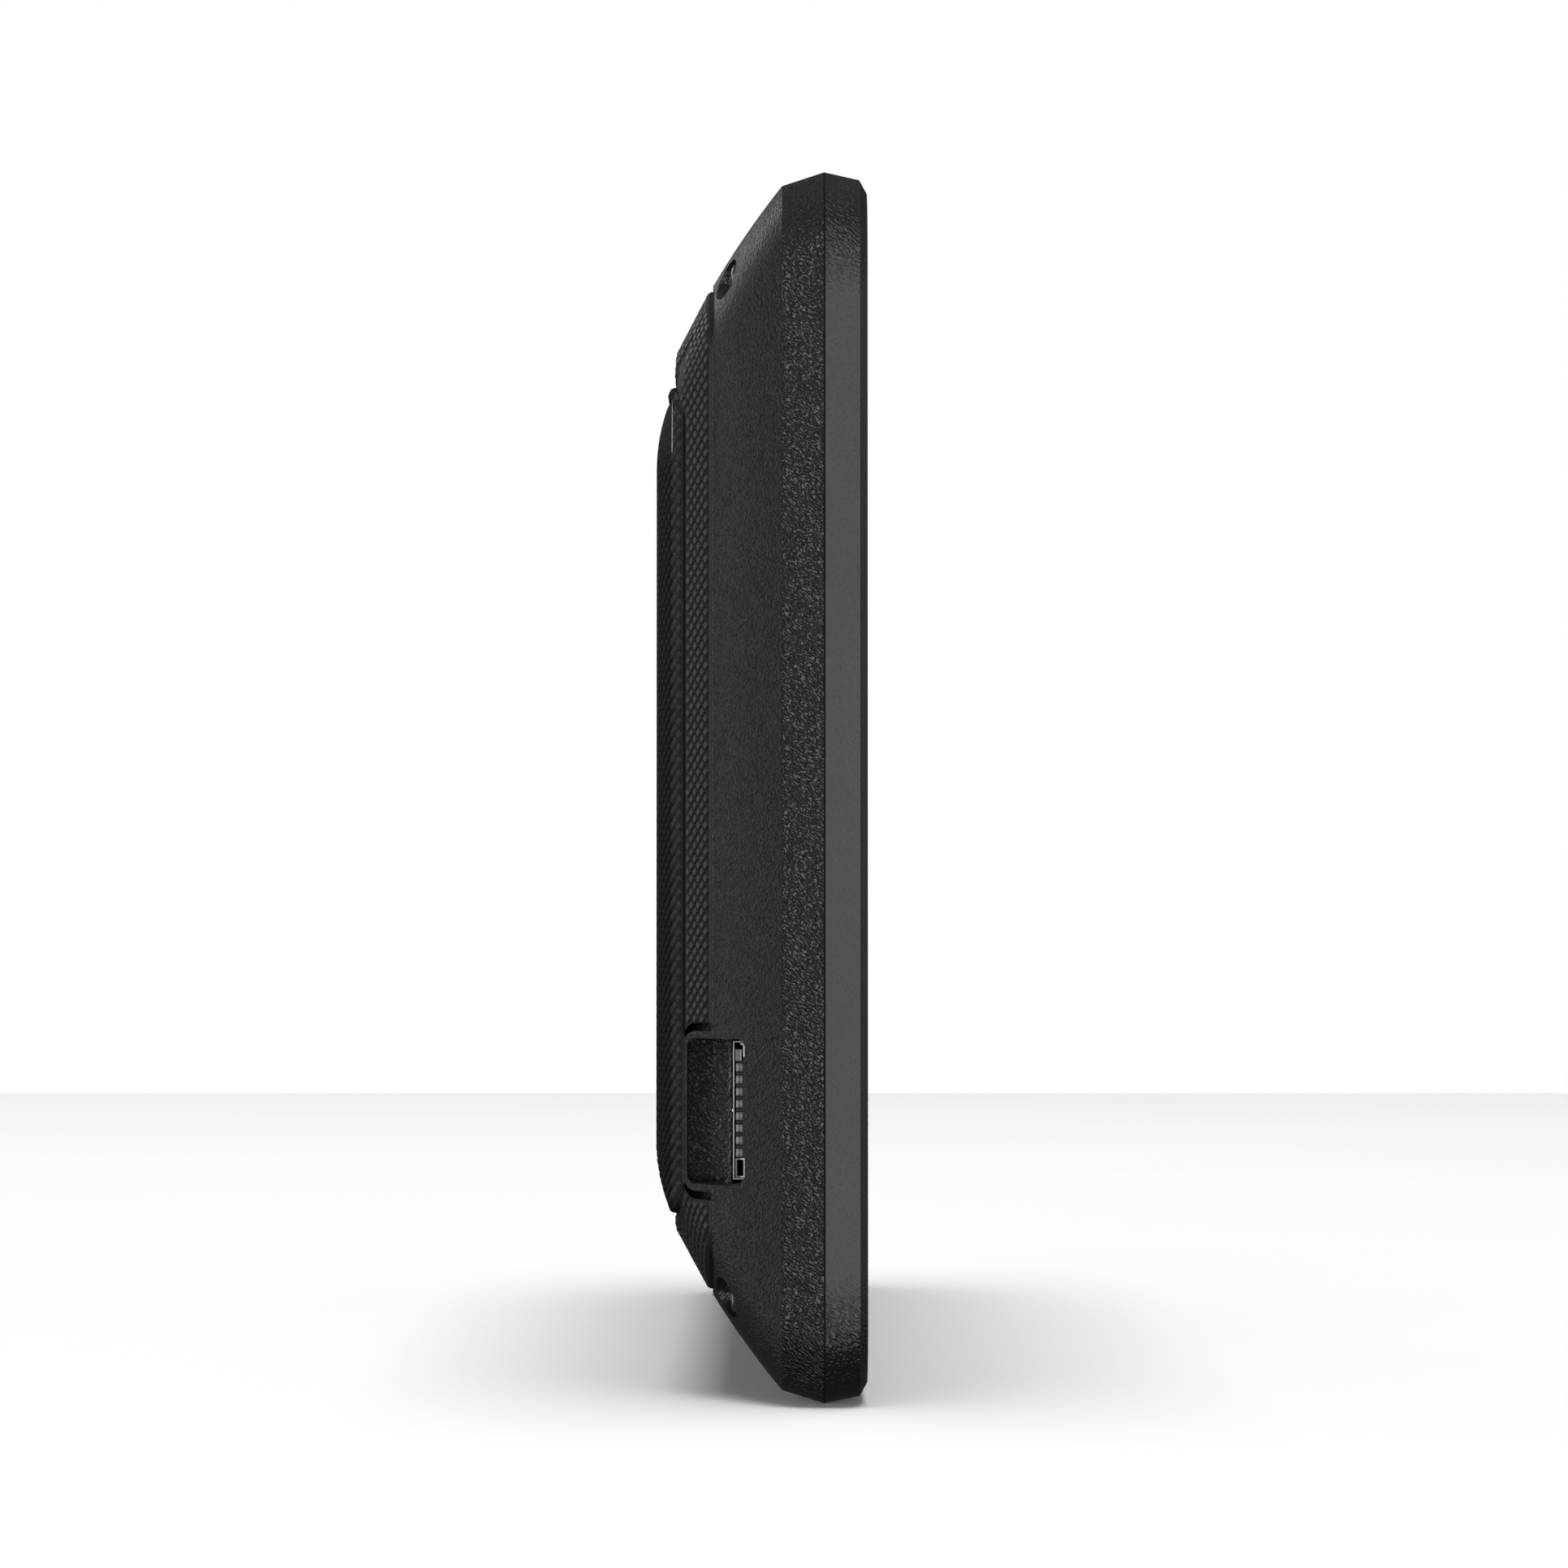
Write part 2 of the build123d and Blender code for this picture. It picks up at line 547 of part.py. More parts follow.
screw_bosses = rods(corner_screws, BOSS_R, SCREW_SEAT_DEPTH - 1.7, SLOPE_DEPTH)
boss_trim = layers([(BAND_DEPTH, BAND_INSET + 0.6), (SLOPE_DEPTH, SLOPE_INSET + 0.6)], CORNER_R)
with BuildPart() as trimmed_bosses:
    add(screw_bosses)
    add(boss_trim, mode=Mode.INTERSECT)
with BuildPart() as trimmed_cheeks:
    add(cheeks.part)
    add(cheek_trim, mode=Mode.INTERSECT)

key_slot = box_between(KEY_X - KEY_W / 2 - KEY_CLEAR, KEY_X + KEY_W / 2 + KEY_CLEAR, HALF_H - 6, HALF_H + 1,
                       KEY_DEPTH - KEY_T / 2 - KEY_CLEAR, KEY_DEPTH + KEY_T / 2 + KEY_CLEAR)
contact_hole = slab(CONTACT_BLOCK_W + 0.3, CONTACT_BLOCK_H + 0.3, CORE_CEILING - 0.5, DEPTH, 1.2)
grille_holes = rods(grille_at, GRILLE_HOLE_R, CORE_CEILING - 0.5, DEPTH + 1)

with BuildPart() as rear_housing:
    add(band_body)
    add(slope_body)
    add(plateau_body)
    add(core_body)
    add(hollow_front, mode=Mode.SUBTRACT)
    add(hollow_slope, mode=Mode.SUBTRACT)
    add(core_hollow, mode=Mode.SUBTRACT)
    add(trimmed_bosses.part)
    add(trimmed_cheeks.part)
    add(card_tongue)
    add(usb_tongue_block)
    add(card_mouth, mode=Mode.SUBTRACT)
    add(card_finger, mode=Mode.SUBTRACT)
    add(card_slot, mode=Mode.SUBTRACT)
    add(usb_mouth, mode=Mode.SUBTRACT)
    add(usb_hole, mode=Mode.SUBTRACT)
    add(rods(corner_screws, POCKET_R, SCREW_SEAT_DEPTH, SLOPE_DEPTH + 1), mode=Mode.SUBTRACT)
    add(rods(corner_screws, SCREW_SHANK_R + 0.2, BAND_DEPTH, SCREW_SEAT_DEPTH), mode=Mode.SUBTRACT)
    add(key_slot, mode=Mode.SUBTRACT)
    add(contact_hole, mode=Mode.SUBTRACT)
    add(grille_holes, mode=Mode.SUBTRACT)
save(rear_housing, "rear_housing")

with BuildPart() as housing_screws:
    add(rods(corner_screws, SCREW_HEAD_R, SCREW_SEAT_DEPTH, SCREW_SEAT_DEPTH + SCREW_HEAD_H))
    tops = housing_screws.faces().filter_by(Axis.Y).group_by(Axis.Y)[-1]
    fillet(tops.edges(), 0.35)
    add(rods(corner_screws, SCREW_SHANK_R, SCREW_SEAT_DEPTH - 4.6, SCREW_SEAT_DEPTH))
    with BuildSketch(level(SCREW_SEAT_DEPTH + SCREW_HEAD_H)):
        with Locations(*corner_screws):
            RegularPolygon(0.75, 6)
    extrude(amount=0.7, mode=Mode.SUBTRACT)
save(housing_screws, "housing_screws")

# ---- grip cover: shell over the housing's raised middle ------------------------------------------
cover_outline = [
    (COVER_EDGE_DEPTH, COVER_INSET),
    (COVER_CHAMFER_DEPTH, COVER_CHAMFER_INSET),
    (COVER_TOP_DEPTH, COVER_TOP_INSET),
]
cover_body = layers(cover_outline, CORNER_R)
cover_flange = inset_slab(COVER_INSET, PLATEAU_DEPTH, FLANGE_DEPTH, CORNER_R)
slit_inset = COVER_INSET + COVER_SLIT_REACH
cover_slit = inset_slab(slit_inset, FLANGE_DEPTH, COVER_EDGE_DEPTH, CORNER_R - COVER_SLIT_REACH)
cover_hollow = layers([(PLATEAU_DEPTH, CORE_INSET - COVER_CLEAR),
                       (CORE_DEPTH + COVER_CLEAR, CORE_TOP_INSET - COVER_CLEAR)], 5.0)

pad_half_w = HALF_W - PAD_INSET
pad_height = PAD_Z_TOP - PAD_Z_BOTTOM
pad_z = (PAD_Z_TOP + PAD_Z_BOTTOM) / 2
pad_seat = slab(2 * (pad_half_w + PAD_CLEAR), pad_height + 2 * PAD_CLEAR, PAD_SEAT_DEPTH, DEPTH + 1,
                PAD_CORNER_R + PAD_CLEAR, 0, pad_z)

notch_height = tongue_height + 2 * TONGUE_GAP
card_notch_end = -(HALF_W - CARD_FLOOR_X_INSET - 1.0) + 0.35
usb_notch_end = HALF_W - USB_FLOOR_X_INSET - 3.0 - 0.35
card_notch = side_pocket(-HALF_W, card_notch_end, notch_height, hollow_back, PAD_SEAT_DEPTH, NOTCH_R)
usb_notch = side_pocket(usb_notch_end, HALF_W, notch_height, hollow_back, PAD_SEAT_DEPTH, NOTCH_R)

with BuildPart() as grip_cover:
    add(cover_body)
    add(cover_flange)
    add(cover_slit)
    add(cover_hollow, mode=Mode.SUBTRACT)
    add(pad_seat, mode=Mode.SUBTRACT)
    add(card_notch, mode=Mode.SUBTRACT)
    add(usb_notch, mode=Mode.SUBTRACT)
    add(contact_hole, mode=Mode.SUBTRACT)
    add(grille_holes, mode=Mode.SUBTRACT)
save(grip_cover, "grip_cover")

# ---- grip pad: domed, with its side walls in line with the cover's chamfer -----------------------
pad_shoulder_x = pad_half_w - cover_rate * (PAD_SHOULDER_DEPTH - PAD_SEAT_DEPTH)
seat_y = y_at(PAD_SEAT_DEPTH)
shoulder_y = y_at(PAD_SHOULDER_DEPTH)
crest_y = y_at(DEPTH)

PAD_SPARE = 0.5            # the two profiles run past the pad's plan, which trims them
low_end = PAD_Z_BOTTOM - PAD_SPARE
high_end = PAD_Z_TOP + PAD_SPARE
roll_drop = DEPTH - PAD_SHOULDER_DEPTH
roll_radius = (PAD_ROLL ** 2 + roll_drop ** 2) / (2 * roll_drop)
spare_y = crest_y - roll_radius + (roll_radius ** 2 - (PAD_ROLL + PAD_SPARE) ** 2) ** 0.5

with BuildPart() as pad_across:
    with BuildSketch(Plane.XY.offset(low_end)):
        with BuildLine():
            Line((-pad_half_w, seat_y), (pad_half_w, seat_y))
            Line((pad_half_w, seat_y), (pad_shoulder_x, shoulder_y))
            TangentArc((pad_shoulder_x - PAD_ROLL, crest_y), (pad_shoulder_x, shoulder_y), tangent=(1, 0))
            Line((pad_shoulder_x - PAD_ROLL, crest_y), (PAD_ROLL - pad_shoulder_x, crest_y))
            TangentArc((PAD_ROLL - pad_shoulder_x, crest_y), (-pad_shoulder_x, shoulder_y), tangent=(-1, 0))
            Line((-pad_shoulder_x, shoulder_y), (-pad_half_w, seat_y))
        make_face()
    extrude(amount=high_end - low_end)

with BuildPart() as pad_along:
    with BuildSketch(Plane.YZ.offset(-pad_half_w - PAD_SPARE)):
        with BuildLine():
            Line((seat_y, low_end), (seat_y, high_end))
            Line((seat_y, high_end), (spare_y, high_end))
            TangentArc((crest_y, PAD_Z_TOP - PAD_ROLL), (spare_y, high_end), tangent=(0, 1))
            Line((crest_y, PAD_Z_TOP - PAD_ROLL), (crest_y, PAD_Z_BOTTOM + PAD_ROLL))
            TangentArc((crest_y, PAD_Z_BOTTOM + PAD_ROLL), (spare_y, low_end), tangent=(0, -1))
            Line((spare_y, low_end), (seat_y, low_end))
        make_face()
    extrude(amount=2 * (pad_half_w + PAD_SPARE))

pad_plan = slab(2 * pad_half_w, pad_height, PAD_SEAT_DEPTH, DEPTH, PAD_CORNER_R, 0, pad_z)
badge_x = -pad_shoulder_x + BADGE_MARGIN_X + BADGE_W / 2
badge_z = PAD_Z_TOP - BADGE_MARGIN_Z - BADGE_H / 2
badge_notch = slab(BADGE_W + 2 * PAD_CLEAR, BADGE_H + 2 * PAD_CLEAR, PAD_SEAT_DEPTH, DEPTH + 1,
                   BADGE_R + PAD_CLEAR, badge_x, badge_z)
dock_well = rods([(0, 0)], DOCK_R + DOCK_CLEAR, PAD_SEAT_DEPTH, DEPTH + 1)

with BuildPart() as grip_pad:
    add(pad_across.part)
    add(pad_along.part, mode=Mode.INTERSECT)
    add(pad_plan, mode=Mode.INTERSECT)
    add(badge_notch, mode=Mode.SUBTRACT)
    add(dock_well, mode=Mode.SUBTRACT)
    add(grille_holes, mode=Mode.SUBTRACT)
save(grip_pad, "grip_pad")

with BuildPart() as badge_plate:
    add(slab(BADGE_W, BADGE_H, PAD_SEAT_DEPTH, PAD_SEAT_DEPTH + BADGE_THICK, BADGE_R, badge_x, badge_z))
    badge_rim = badge_plate.faces().sort_by(Axis.Y)[-1].edges()
    fillet(badge_rim, 0.15)
save(badge_plate, "badge_plate")

# ---- dock: steel plate that a cradle's magnets hold, with charging contacts ----------------------
dock_face_depth = PAD_SEAT_DEPTH + DOCK_THICK
with BuildPart() as dock_plate:
    add(rods([(0, 0)], DOCK_R, PAD_SEAT_DEPTH, dock_face_depth))
    add(contact_hole, mode=Mode.SUBTRACT)
    dock_rim = dock_plate.faces().sort_by(Axis.Y)[-1].edges().sort_by(SortBy.LENGTH)[-1]
    chamfer(dock_rim, 0.3)
save(dock_plate, "dock_plate")

contact_back = dock_face_depth + 0.2
with BuildPart() as dock_contact_block:
    add(slab(CONTACT_BLOCK_W, CONTACT_BLOCK_H, BOARD_BACK, contact_back, 1.1))
    add(slab(CONTACT_BLOCK_W + 4, CONTACT_BLOCK_H + 4, CORE_CEILING - 1.0, CORE_CEILING, 1.5))
    add(rods(contacts_at, CONTACT_R, contact_back - 1.2, contact_back), mode=Mode.SUBTRACT)
save(dock_contact_block, "dock_contact_block")

with BuildPart() as dock_contacts:
    add(rods(contacts_at, CONTACT_R, contact_back - 1.2, contact_back + 0.12))
    contact_tips = dock_contacts.faces().filter_by(Axis.Y).group_by(Axis.Y)[-1]
    fillet(contact_tips.edges(), 0.1)
save(dock_contacts, "dock_contacts")

# ---- card socket, opening to the left ------------------------------------------------------------
mouth = -MOUTH_X
card_end = mouth + CARD_L
card_low = PORT_Z - CARD_W / 2
card_high = PORT_Z + CARD_W / 2
card_floor = BOARD_BACK + 0.35
card_roof = CARD_BACK - CARD_SHEET
PIN_W = 0.8
LANE_W = 1.2
LANE_Z = card_high - CARD_SHEET - 0.3 - LANE_W

with BuildPart() as card_socket_shell:
    add(box_between(mouth, card_end, card_low, card_high, BOARD_BACK, CARD_BACK))
    add(box_between(mouth - 1, card_end - CARD_SHEET, card_low + CARD_SHEET, card_high - CARD_SHEET,
                    BOARD_BACK, card_roof), mode=Mode.SUBTRACT)
    for low, high in ((-4, -1), (1, 4)):
        add(box_between(mouth + 4, mouth + 7, PORT_Z + low, PORT_Z + high, card_roof - 0.5, CARD_BACK + 1),
            mode=Mode.SUBTRACT)
save(card_socket_shell, "card_socket_shell")

pins_at = [PORT_Z + (i - (CARD_PINS - 1) / 2) * CARD_PIN_PITCH for i in range(CARD_PINS)]
teeth_at = [PORT_Z + (i - CARD_PINS / 2) * CARD_PIN_PITCH for i in range(CARD_PINS + 1)]
with BuildPart() as card_socket_base:
    add(box_between(mouth + 0.2, card_end - CARD_SHEET, card_low + CARD_SHEET, card_high - CARD_SHEET,
                    BOARD_BACK, card_floor))
    add(box_between(card_end - 1.2, card_end - CARD_SHEET, card_low + CARD_SHEET, card_high - CARD_SHEET,
                    card_floor, card_roof))
    for z in teeth_at:
        add(box_between(mouth + 0.35, mouth + 1.8, z - 0.1, z + 0.1, card_floor, card_floor + 0.62))
    add(box_between(mouth + 11, card_end - 1.2, LANE_Z - 0.35, LANE_Z - 0.15, card_floor, card_roof))
save(card_socket_base, "card_socket_base")

with BuildPart() as card_contacts:
    for z in pins_at:
        with BuildSketch(Plane.XY.offset(z - PIN_W / 2)):
            with BuildLine():
                Polyline(
                    (mouth + 0.45, y_at(card_floor)),
                    (mouth + 0.45, y_at(card_floor + 0.12)),
                    (mouth + 0.80, y_at(card_floor + 0.62)),
                    (mouth + 1.60, y_at(card_floor + 0.66)),
                    (mouth + 5.00, y_at(card_floor + 0.12)),
                    (mouth + 7.00, y_at(card_floor + 0.12)),
                    (mouth + 7.00, y_at(card_floor)),
                    (mouth + 4.95, y_at(card_floor)),
                    (mouth + 1.60, y_at(card_floor + 0.52)),
                    (mouth + 0.90, y_at(card_floor + 0.50)),
                    (mouth + 0.57, y_at(card_floor)),
                    close=True,
                )
            make_face()
        extrude(amount=PIN_W)
save(card_contacts, "card_contacts")

with BuildPart() as card_slider:
    add(box_between(mouth + 6.0, mouth + 10.0, LANE_Z, LANE_Z + LANE_W, card_floor + 0.05, card_roof - 0.08))
    add(box_between(mouth + 8.8, mouth + 10.0, LANE_Z - 0.9, LANE_Z, card_floor + 0.2, card_roof - 0.08))
save(card_slider, "card_slider")

# ---- charging and data port, opening to the right ------------------------------------------------
usb_end = MOUTH_X
usb_start = MOUTH_X - USB_L
usb_mid_y = y_at(usb_mid_depth)


def port_tube(x_from, length, width, height):
    with BuildPart() as tube:
        with BuildSketch(Plane.YZ.offset(x_from)):
            with Locations((usb_mid_y, PORT_Z)):
                RectangleRounded(height, width, height / 2 - 0.01)
        extrude(amount=length)
    return tube.part


usb_outer = port_tube(usb_start, USB_L, USB_W, USB_H)
usb_inner = port_tube(usb_start + 0.4, USB_L, USB_W - 2 * USB_WALL, USB_H - 2 * USB_WALL)
usb_plug_block = port_tube(usb_start + 0.4, 1.2, USB_W - 2 * USB_WALL, USB_H - 2 * USB_WALL)
with BuildPart() as usb_shell:
    add(usb_outer)
    add(usb_inner, mode=Mode.SUBTRACT)
save(usb_shell, "usb_shell")

with BuildPart() as usb_tongue:
    add(usb_plug_block)
    add(box_between(usb_start + 1.0, usb_end - 0.6, PORT_Z - 3.35, PORT_Z + 3.35,
                    usb_mid_depth - 0.35, usb_mid_depth + 0.35))
save(usb_tongue, "usb_tongue")

# ---- power key on the top band -------------------------------------------------------------------
key_low = KEY_DEPTH - KEY_T / 2
key_high = KEY_DEPTH + KEY_T / 2
flange_top = HALF_H - RIB_INSET - 1.1
flange_bottom = flange_top - 0.9
stem_bottom = flange_bottom - 0.6
switch_top = stem_bottom - KEY_TRAVEL - 0.05
key_trim = layers([(RIDGE_DEPTH, KEY_SUNK), (BAND_DEPTH, BAND_INSET + KEY_SUNK)], CORNER_R)

with BuildPart() as power_key:
    add(box_between(KEY_X - KEY_W / 2, KEY_X + KEY_W / 2, flange_bottom, HALF_H, key_low, key_high))
    fillet(power_key.edges().filter_by(Axis.Z), KEY_T / 2 - 0.1)
    add(key_trim, mode=Mode.INTERSECT)
    add(box_between(KEY_X - KEY_W / 2 - 1, KEY_X + KEY_W / 2 + 1, flange_bottom, flange_top, key_low, key_high))
    add(box_between(KEY_X - 0.6, KEY_X + 0.6, stem_bottom, flange_bottom, KEY_DEPTH - 0.6, KEY_DEPTH + 0.6))
save(power_key, "power_key")

with BuildPart() as power_switch:
    add(box_between(KEY_X - 2, KEY_X + 2, switch_top - 1.6, switch_top - 0.3, key_low, key_high))
    add(box_between(KEY_X - 0.8, KEY_X + 0.8, switch_top - 0.3, switch_top, KEY_DEPTH - 0.6, KEY_DEPTH + 0.6))
save(power_switch, "power_switch")

switch_foot = switch_top - 1.6
with BuildPart() as key_flex:
    add(box_between(KEY_X - 4, KEY_X + 4, switch_foot - 0.2, switch_foot, key_low, BOARD_FRONT))
    add(box_between(KEY_X - 4, KEY_X + 4, BOARD_H / 2 - 2, switch_foot, BOARD_FRONT - 0.2, BOARD_FRONT))
save(key_flex, "key_flex")
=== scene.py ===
# %% [markdown]
# # A rugged tablet navigator, standing on its long edge
# The object is a slim black tablet for use outdoors: a moulded housing, a black
# glass front, and a rubber grip on its back with a relief of small diamond studs.
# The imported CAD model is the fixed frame, so every piece goes where the model says.
# Each lesson below takes one piece or one finish: what it is on the real object,
# how it could be made in Blender, and why it is made in the way shown.

import math

import bmesh
import bpy
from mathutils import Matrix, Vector
from mathutils.bvhtree import BVHTree


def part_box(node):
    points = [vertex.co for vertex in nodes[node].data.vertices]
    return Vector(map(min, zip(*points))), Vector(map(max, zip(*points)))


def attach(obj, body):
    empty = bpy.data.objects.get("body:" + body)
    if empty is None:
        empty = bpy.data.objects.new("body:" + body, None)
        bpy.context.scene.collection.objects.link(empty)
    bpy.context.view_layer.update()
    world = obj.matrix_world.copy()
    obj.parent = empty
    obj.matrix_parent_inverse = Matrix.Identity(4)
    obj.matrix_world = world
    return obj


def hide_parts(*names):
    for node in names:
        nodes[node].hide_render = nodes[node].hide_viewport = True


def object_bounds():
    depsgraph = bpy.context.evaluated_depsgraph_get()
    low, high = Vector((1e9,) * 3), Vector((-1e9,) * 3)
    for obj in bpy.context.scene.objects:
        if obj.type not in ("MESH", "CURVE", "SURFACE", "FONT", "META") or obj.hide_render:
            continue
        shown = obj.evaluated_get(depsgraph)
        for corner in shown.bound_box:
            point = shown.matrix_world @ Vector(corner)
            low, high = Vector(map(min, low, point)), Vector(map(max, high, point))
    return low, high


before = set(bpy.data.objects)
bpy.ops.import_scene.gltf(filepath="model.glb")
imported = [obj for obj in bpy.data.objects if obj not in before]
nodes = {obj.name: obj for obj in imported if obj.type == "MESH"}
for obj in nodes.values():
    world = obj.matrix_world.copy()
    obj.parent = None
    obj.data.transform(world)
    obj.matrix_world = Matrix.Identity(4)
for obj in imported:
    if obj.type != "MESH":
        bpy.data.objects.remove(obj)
cad_low, cad_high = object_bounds()
MM = 0.001
print("box in mm:", [round(v / MM, 2) for v in (*cad_low, *cad_high)])

# %% [markdown]
# ## The camera
# The tablet is looked at end on, from its left short side, from half a metre away.
# A long lens keeps the depth of the pocket readable with little perspective. The
# camera sits a little above the floor and is tipped up by under two degrees, and
# no lens shift is needed, so the other views keep the same framing.

# %% Camera
CAMERA_GAP = 479.6 * MM
CAMERA_Y = -2.17 * MM
CAMERA_Z = -14.43 * MM
CAMERA_TIP = math.radians(1.722)
LENS = 124.9

scene = bpy.context.scene
camera_data = bpy.data.cameras.new("camera")
camera_data.lens = LENS
camera = bpy.data.objects.new("camera", camera_data)
camera.location = (cad_low.x - CAMERA_GAP, CAMERA_Y, CAMERA_Z)
camera.rotation_euler = (math.radians(90) + CAMERA_TIP, 0, math.radians(-90))
scene.collection.objects.link(camera)
scene.camera = camera
scene.view_settings.view_transform = "Standard"
print("camera at", [round(v, 4) for v in camera.location])

# %% [markdown]
# ## One way to make nodes
# Materials and Geometry Nodes are both graphs. One small class makes a node from
# its type, its settings and the values of its sockets, and a second class wraps a
# socket, so that sums on values are written as Python sums. Each sum adds a Math
# node, and the shader then reads like the formula that it stands for.

# %% Graphs and shader sums
class Value:
    """A number that changes over a surface, or any other output socket."""

    def __init__(self, graph, socket):
        self.graph = graph
        self.socket = socket

    def sum_of(self, operation, first, second):
        sockets = {0: first, 1: second}
        return self.graph.node("ShaderNodeMath", sockets, operation=operation)

    def __add__(self, other):
        return self.sum_of("ADD", self, other)

    def __radd__(self, other):
        return self.sum_of("ADD", other, self)

    def __sub__(self, other):
        return self.sum_of("SUBTRACT", self, other)

    def __rsub__(self, other):
        return self.sum_of("SUBTRACT", other, self)

    def __mul__(self, other):
        return self.sum_of("MULTIPLY", self, other)

    def size(self):
        return self.sum_of("ABSOLUTE", self, 0.0)

    def above(self, edge, soft):
        """0 below the edge and 1 above it, over a soft step."""
        sockets = {"Value": self, "From Min": edge - soft, "From Max": edge + soft}
        return self.graph.node("ShaderNodeMapRange", sockets, interpolation_type="SMOOTHSTEP")


class Graph:
    """A node tree that is written one node at a time."""

    def __init__(self, tree):
        self.tree = tree
        self.tree.nodes.clear()

    def node(self, kind, sockets=None, out=0, stops=None, **settings):
        made = self.tree.nodes.new(kind)
        for key, setting in settings.items():
            setattr(made, key, setting)
        if stops:
            while len(made.color_ramp.elements) < len(stops):
                made.color_ramp.elements.new(1.0)
            for element, (place, colour) in zip(made.color_ramp.elements, stops):
                element.position = place
                element.color = colour
        for key, value in (sockets or {}).items():
            if isinstance(value, Value):
                self.tree.links.new(value.socket, made.inputs[key])
            else:
                made.inputs[key].default_value = value
        return Value(self, made.outputs[out]) if made.outputs else None


print("graph helpers ready")

# %% [markdown]
# ## A finish
# Every finish on this object reads Object coordinates, because each piece sits at
# the origin with its place in its mesh, so patterns keep their real size and stay
# still when a part moves. A finish starts from one Principled shader. What varies
# feeds colour, roughness and bump, and what is the same all over is a constant.

# %% Finish class
class Finish(Graph):
    """A procedural material on one Principled shader."""

    def __init__(self, name):
        self.material = bpy.data.materials.new(name)
        self.material.use_nodes = True
        super().__init__(self.material.node_tree)
        self.place = self.node("ShaderNodeTexCoord", out="Object")
        axes = self.tree.nodes.new("ShaderNodeSeparateXYZ")
        self.tree.links.new(self.place.socket, axes.inputs[0])
        self.x, self.y, self.z = (Value(self, axis) for axis in axes.outputs)

    def stretched(self, turn, scale):
        """The place, turned and stretched, for a pattern with a direction."""
        turned = self.node("ShaderNodeMapping", {"Vector": self.place, "Rotation": turn})
        return self.node("ShaderNodeMapping", {"Vector": turned, "Scale": scale})

    def cloud(self, size, detail=3.0, place=None, rough=0.5, warp=0.0):
        """Soft noise whose blobs are about that many metres across."""
        sockets = {"Vector": place or self.place, "Scale": 1.0 / size}
        sockets.update({"Detail": detail, "Roughness": rough, "Distortion": warp})
        return self.node("ShaderNodeTexNoise", sockets, out=0)

    def cells(self, size, feature="F1"):
        """How far a point lies from the nearest cell's centre or edge."""
        sockets = {"Vector": self.place, "Scale": 1.0 / size}
        return self.node("ShaderNodeTexVoronoi", sockets, out=0, feature=feature)

    def tint(self, amount, low, high):
        """A colour between two, by an amount from 0 to 1."""
        sockets = {0: amount, 6: (*low, 1.0), 7: (*high, 1.0)}
        return self.node("ShaderNodeMix", sockets, out=2, data_type="RGBA")

    def layer(self, amount, under, over):
        """One colour over another: each is a colour socket or three numbers."""
        pair = [c if isinstance(c, Value) else (*c, 1.0) for c in (under, over)]
        sockets = {0: amount, 6: pair[0], 7: pair[1]}
        return self.node("ShaderNodeMix", sockets, out=2, data_type="RGBA")

    def bumps(self, height, depth):
        """A bump from a 0 to 1 height, which is that many metres deep."""
        sockets = {"Height": height, "Distance": depth, "Strength": 1.0}
        return self.node("ShaderNodeBump", sockets)

    def close(self, **sockets):
        named = {key.replace("_", " "): value for key, value in sockets.items()}
        shader = self.node("ShaderNodeBsdfPrincipled", named)
        self.node("ShaderNodeOutputMaterial", {"Surface": shader})
        return self.material


print("finish class ready")

# %% [markdown]
# ## Light
# The tablet stands in a dim studio on a white table. One large lamp overhead turns
# the table white and leaves a soft grey shadow at the foot of the tablet. That lamp
# is hidden from glossy rays, or the black plastic would mirror it along its top. The
# sky is dim at the sides and brighter near the zenith, and each softbox stands where
# one moulded band mirrors it, so each band gets a grey of its own.

# %% Studio sky
SKY_TOP = 0.30
SKY_SIDE = 0.07
SKY_EDGE = 0.80
SKY_SOFT = 0.12
sky = bpy.data.worlds.new("studio")
sky.use_nodes = True
scene.world = sky
studio = Graph(sky.node_tree)
direction = studio.node("ShaderNodeTexCoord", out="Generated")
height = studio.node("ShaderNodeSeparateXYZ", {0: direction}, out=2)
overhead = height.above(SKY_EDGE, SKY_SOFT)
strength = SKY_SIDE + overhead * (SKY_TOP - SKY_SIDE)
lit = studio.node("ShaderNodeBackground", {"Strength": strength})
plain = studio.node("ShaderNodeBackground", {"Color": (1, 1, 1, 1), "Strength": 1.0})
seen = studio.node("ShaderNodeLightPath", out="Is Camera Ray")
backdrop = studio.node("ShaderNodeMixShader", {0: seen, 1: lit, 2: plain})
studio.node("ShaderNodeOutputWorld", {"Surface": backdrop})
print("sky strengths", SKY_SIDE, SKY_TOP)

# %% Softboxes
def softbox(name, direction_deg, lift_deg, distance, width, height, power):
    """A rectangular light that faces the tablet from a compass direction."""
    turn, lift = math.radians(direction_deg), math.radians(lift_deg)
    level = math.cos(lift)
    away = Vector((-math.cos(turn) * level, math.sin(turn) * level, math.sin(lift)))
    data = bpy.data.lights.new(name, "AREA")
    data.shape = "RECTANGLE"
    data.size, data.size_y = width, height
    data.energy = power
    lamp = bpy.data.objects.new(name, data)
    lamp.location = away * distance
    lamp.rotation_euler = away.to_track_quat("Z", "Y").to_euler()
    scene.collection.objects.link(lamp)
    return lamp


